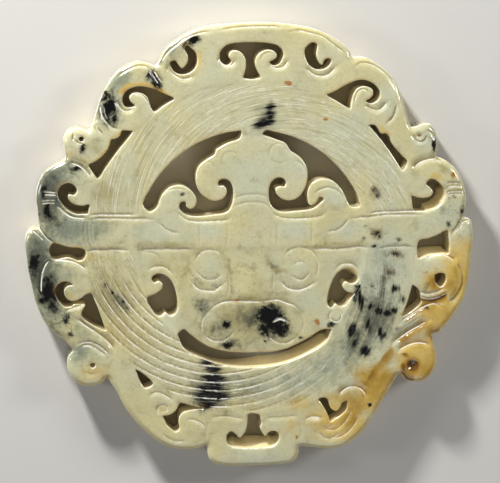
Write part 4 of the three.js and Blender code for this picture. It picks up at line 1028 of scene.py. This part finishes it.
def jadeMaterial():
    material = bpy.data.materials.new("celadonJade")
    material.use_nodes = True
    nodes, links = material.node_tree.nodes, material.node_tree.links
    nodes.clear()
    out = nodes.new("ShaderNodeOutputMaterial")
    shader = nodes.new("ShaderNodeBsdfPrincipled")
    links.new(shader.outputs["BSDF"], out.inputs["Surface"])

    def noise(source, scale, detail, rough, twist):
        node = nodes.new("ShaderNodeTexNoise")
        node.inputs["Scale"].default_value = scale
        node.inputs["Detail"].default_value = detail
        node.inputs["Roughness"].default_value = rough
        node.inputs["Distortion"].default_value = twist
        links.new(source, node.inputs["Vector"])
        return node.outputs["Fac"]

    def mark(name, kind="Fac"):
        node = nodes.new("ShaderNodeAttribute")
        node.attribute_name = name
        return node.outputs[kind]

    def calc(kind, a, b):
        node = nodes.new("ShaderNodeMath")
        node.operation = kind
        for socket, value in zip(node.inputs, (a, b)):
            if isinstance(value, (int, float)):
                socket.default_value = value
            else:
                links.new(value, socket)
        return node.outputs["Value"]

    def span(value, low, high, start=0.0, end=1.0):
        node = nodes.new("ShaderNodeMapRange")
        node.interpolation_type = "SMOOTHSTEP"
        links.new(value, node.inputs["Value"])
        for socket, number in (("From Min", low), ("From Max", high), ("To Min", start), ("To Max", end)):
            node.inputs[socket].default_value = number
        return node.outputs["Result"]

    def blend(share, a, b, kind="MIX"):
        node = nodes.new("ShaderNodeMix")
        node.data_type = "RGBA"
        node.blend_type = kind
        if isinstance(share, (int, float)):
            node.inputs["Factor"].default_value = share
        else:
            links.new(share, node.inputs["Factor"])
        for socket, value in ((node.inputs[6], a), (node.inputs[7], b)):
            if isinstance(value, tuple):
                socket.default_value = value
            else:
                links.new(value, socket)
        return node.outputs[2]

    def summed(parts):
        first, second = [calc("MULTIPLY", noises[name], share) for name, share in parts.items()]
        return calc("ADD", first, second)

    def laid(color, tint, kind, name, start, full, most, source):
        if kind == "spread":
            share = span(noises[source], start, full, 0.0, most)
            return blend(calc("MULTIPLY", mark(name), share) if name else share, color, tints[tint])
        value = mark(name)
        for other, amount in source.items():
            value = calc("ADD", value, calc("MULTIPLY", calc("SUBTRACT", noises[other], 0.5), amount))
        share = span(value, start, full, 0.0, most)
        if kind == "dark":
            share = calc("MULTIPLY", share, span(mark(name), 0.0, jadeSurface["darkEdge"]))
        return blend(share, color, tints[tint])

    place, grainPlace = nodes.new("ShaderNodeTexCoord").outputs["Object"], mark("grain", "Vector")
    noises = {name: noise(place, *values) for name, values in stoneNoises.items()}
    noises.update({name: noise(grainPlace, *values) for name, values in grainNoises.items()})
    amber = span(noises["patch"], *jadeSurface["amber"])
    tints = {**jadeFinish, "gold": blend(amber, jadeFinish["gold"], jadeFinish["amber"])}

    color = blend(span(noises["cloud"], *jadeSurface["clouds"]), tints["cream"], tints["pale"])
    for layer in stoneTints:
        color = laid(color, *layer)
    for name, ends in jadeSurface["shades"].items():
        color = blend(1.0, color, span(noises[name], *ends), "MULTIPLY")
    dust = calc("ADD", mark("pepper"), jadeSurface["dustAllOver"])
    dust = calc("MULTIPLY", dust, span(noises["speck"], *jadeSurface["dust"]))
    color = blend(dust, color, tints["umber"])
    for layer in darkTints:
        color = laid(color, *layer)
    # painted shade, the lighter sawn walls, painted glow and painted highlight
    paintedShade = span(mark("shade"), 0.0, 1.0, 0.0, jadeSurface["paintedShade"])
    color = blend(paintedShade, color, tints["paintedShade"], "MULTIPLY")
    color = blend(calc("MULTIPLY", mark("wall"), jadeSurface["sawnAndLitWall"]), color, tints["sawnAndLitWall"])
    glow = calc("MULTIPLY", mark("paintedGlow"), span(noises["mottle"], *jadeSurface["glow"]))
    color = blend(glow, color, tints["glow"])
    shine = span(summed(jadeSurface["worn"]), *jadeSurface["highlightBreakup"])
    shine = span(calc("MULTIPLY", mark("paintedHighlight"), shine), *jadeSurface["paintedHighlight"])
    links.new(blend(shine, color, tints["highlightAndHairline"]), shader.inputs["Base Color"])

    # walls facing the light glow, in place of light that came through the stone
    through = calc("MULTIPLY", mark("through"), span(noises["mottle"], *jadeSurface["throughMottle"]))
    links.new(calc("MULTIPLY", through, jadeSurface["through"]), shader.inputs["Emission Strength"])
    links.new(span(noises["fine"], *jadeSurface["roughness"]), shader.inputs["Roughness"])
    strands = calc("MULTIPLY", calc("MULTIPLY", noises["hair"], mark("ring")), jadeSurface["strandRelief"])
    bump = nodes.new("ShaderNodeBump")
    bump.inputs["Strength"].default_value = jadeSurface["bump"]
    bump.inputs["Distance"].default_value = jadeSurface["bumpDepth"]
    links.new(calc("ADD", summed(jadeSurface["relief"]), strands), bump.inputs["Height"])
    links.new(bump.outputs["Normal"], shader.inputs["Normal"])
    for socket, value in jadeBody.items():
        shader.inputs[socket].default_value = value
    return material


mesh.materials.append(jadeMaterial())
print("celadon jade finish")

floorLook = {"size": 1.6, "color": (0.62, 0.61, 0.59, 1), "roughness": 0.7}
floorMesh = bpy.data.meshes.new("paleFloor")
half = floorLook["size"] / 2
corners = [(-half, -half, 0), (half, -half, 0), (half, half, 0), (-half, half, 0)]
floorMesh.from_pydata(corners, [], [(0, 1, 2, 3)])
paleFloor = bpy.data.objects.new("paleFloor", floorMesh)
bpy.context.scene.collection.objects.link(paleFloor)
floorMaterial = bpy.data.materials.new("paleFloor")
floorMaterial.use_nodes = True
floorShader = floorMaterial.node_tree.nodes["Principled BSDF"]
floorShader.inputs["Base Color"].default_value = floorLook["color"]
floorShader.inputs["Roughness"].default_value = floorLook["roughness"]
floorMesh.materials.append(floorMaterial)

studioLights = {
    "key": {"place": (-0.25, 0.45, 0.22), "size": 0.06, "power": 4.6, "color": (1.0, 0.98, 0.94)},
    "left": {"place": (-0.48, 0.06, 0.26), "size": 0.10, "power": 0.5, "color": (0.97, 0.98, 1.0)},
    "right": {"place": (0.44, 0.18, 0.28), "size": 0.14, "power": 0.95, "color": (1.0, 0.99, 0.97)},
    "front": {"place": (0.05, -0.45, 0.40), "size": 0.40, "power": 0.6, "color": (1.0, 0.99, 0.97)},
}
roomLight = {"Color": (1.0, 1.0, 1.0, 1), "Strength": 0.10}
for name, light in studioLights.items():
    lamp = bpy.data.lights.new(name + "Light", "AREA")
    lamp.size = light["size"]
    lamp.energy = light["power"]
    lamp.color = light["color"]
    holder = bpy.data.objects.new(name + "Light", lamp)
    holder.location = light["place"]
    holder.rotation_euler = (-Vector(light["place"])).to_track_quat("-Z", "Y").to_euler()
    bpy.context.scene.collection.objects.link(holder)
world = bpy.data.worlds.new("studio")
world.use_nodes = True
for socket, value in roomLight.items():
    world.node_tree.nodes["Background"].inputs[socket].default_value = value
bpy.context.scene.world = world
bpy.context.scene.view_settings.view_transform = "Standard"
print("lights and floor")

view = {
    "place": (-0.055, 0.075, 0.650),
    "aim": (-0.00020, 0.00125, 0.009),
    "lens": 187.8,
    "sensor": 36.0,
    "near": 0.01,
}
camera = bpy.data.cameras.new("faceView")
camera.lens = view["lens"]
camera.sensor_width = view["sensor"]
camera.clip_start = view["near"]
eye = bpy.data.objects.new("faceView", camera)
ahead = (Vector(view["aim"]) - Vector(view["place"])).normalized()
across = ahead.cross(Vector((0, 1, 0))).normalized()   # the crown stays at the top of the picture
upward = across.cross(ahead)
eye.matrix_world = Matrix((across, upward, -ahead)).transposed().to_4x4()
eye.location = view["place"]
bpy.context.scene.collection.objects.link(eye)
bpy.context.scene.camera = eye
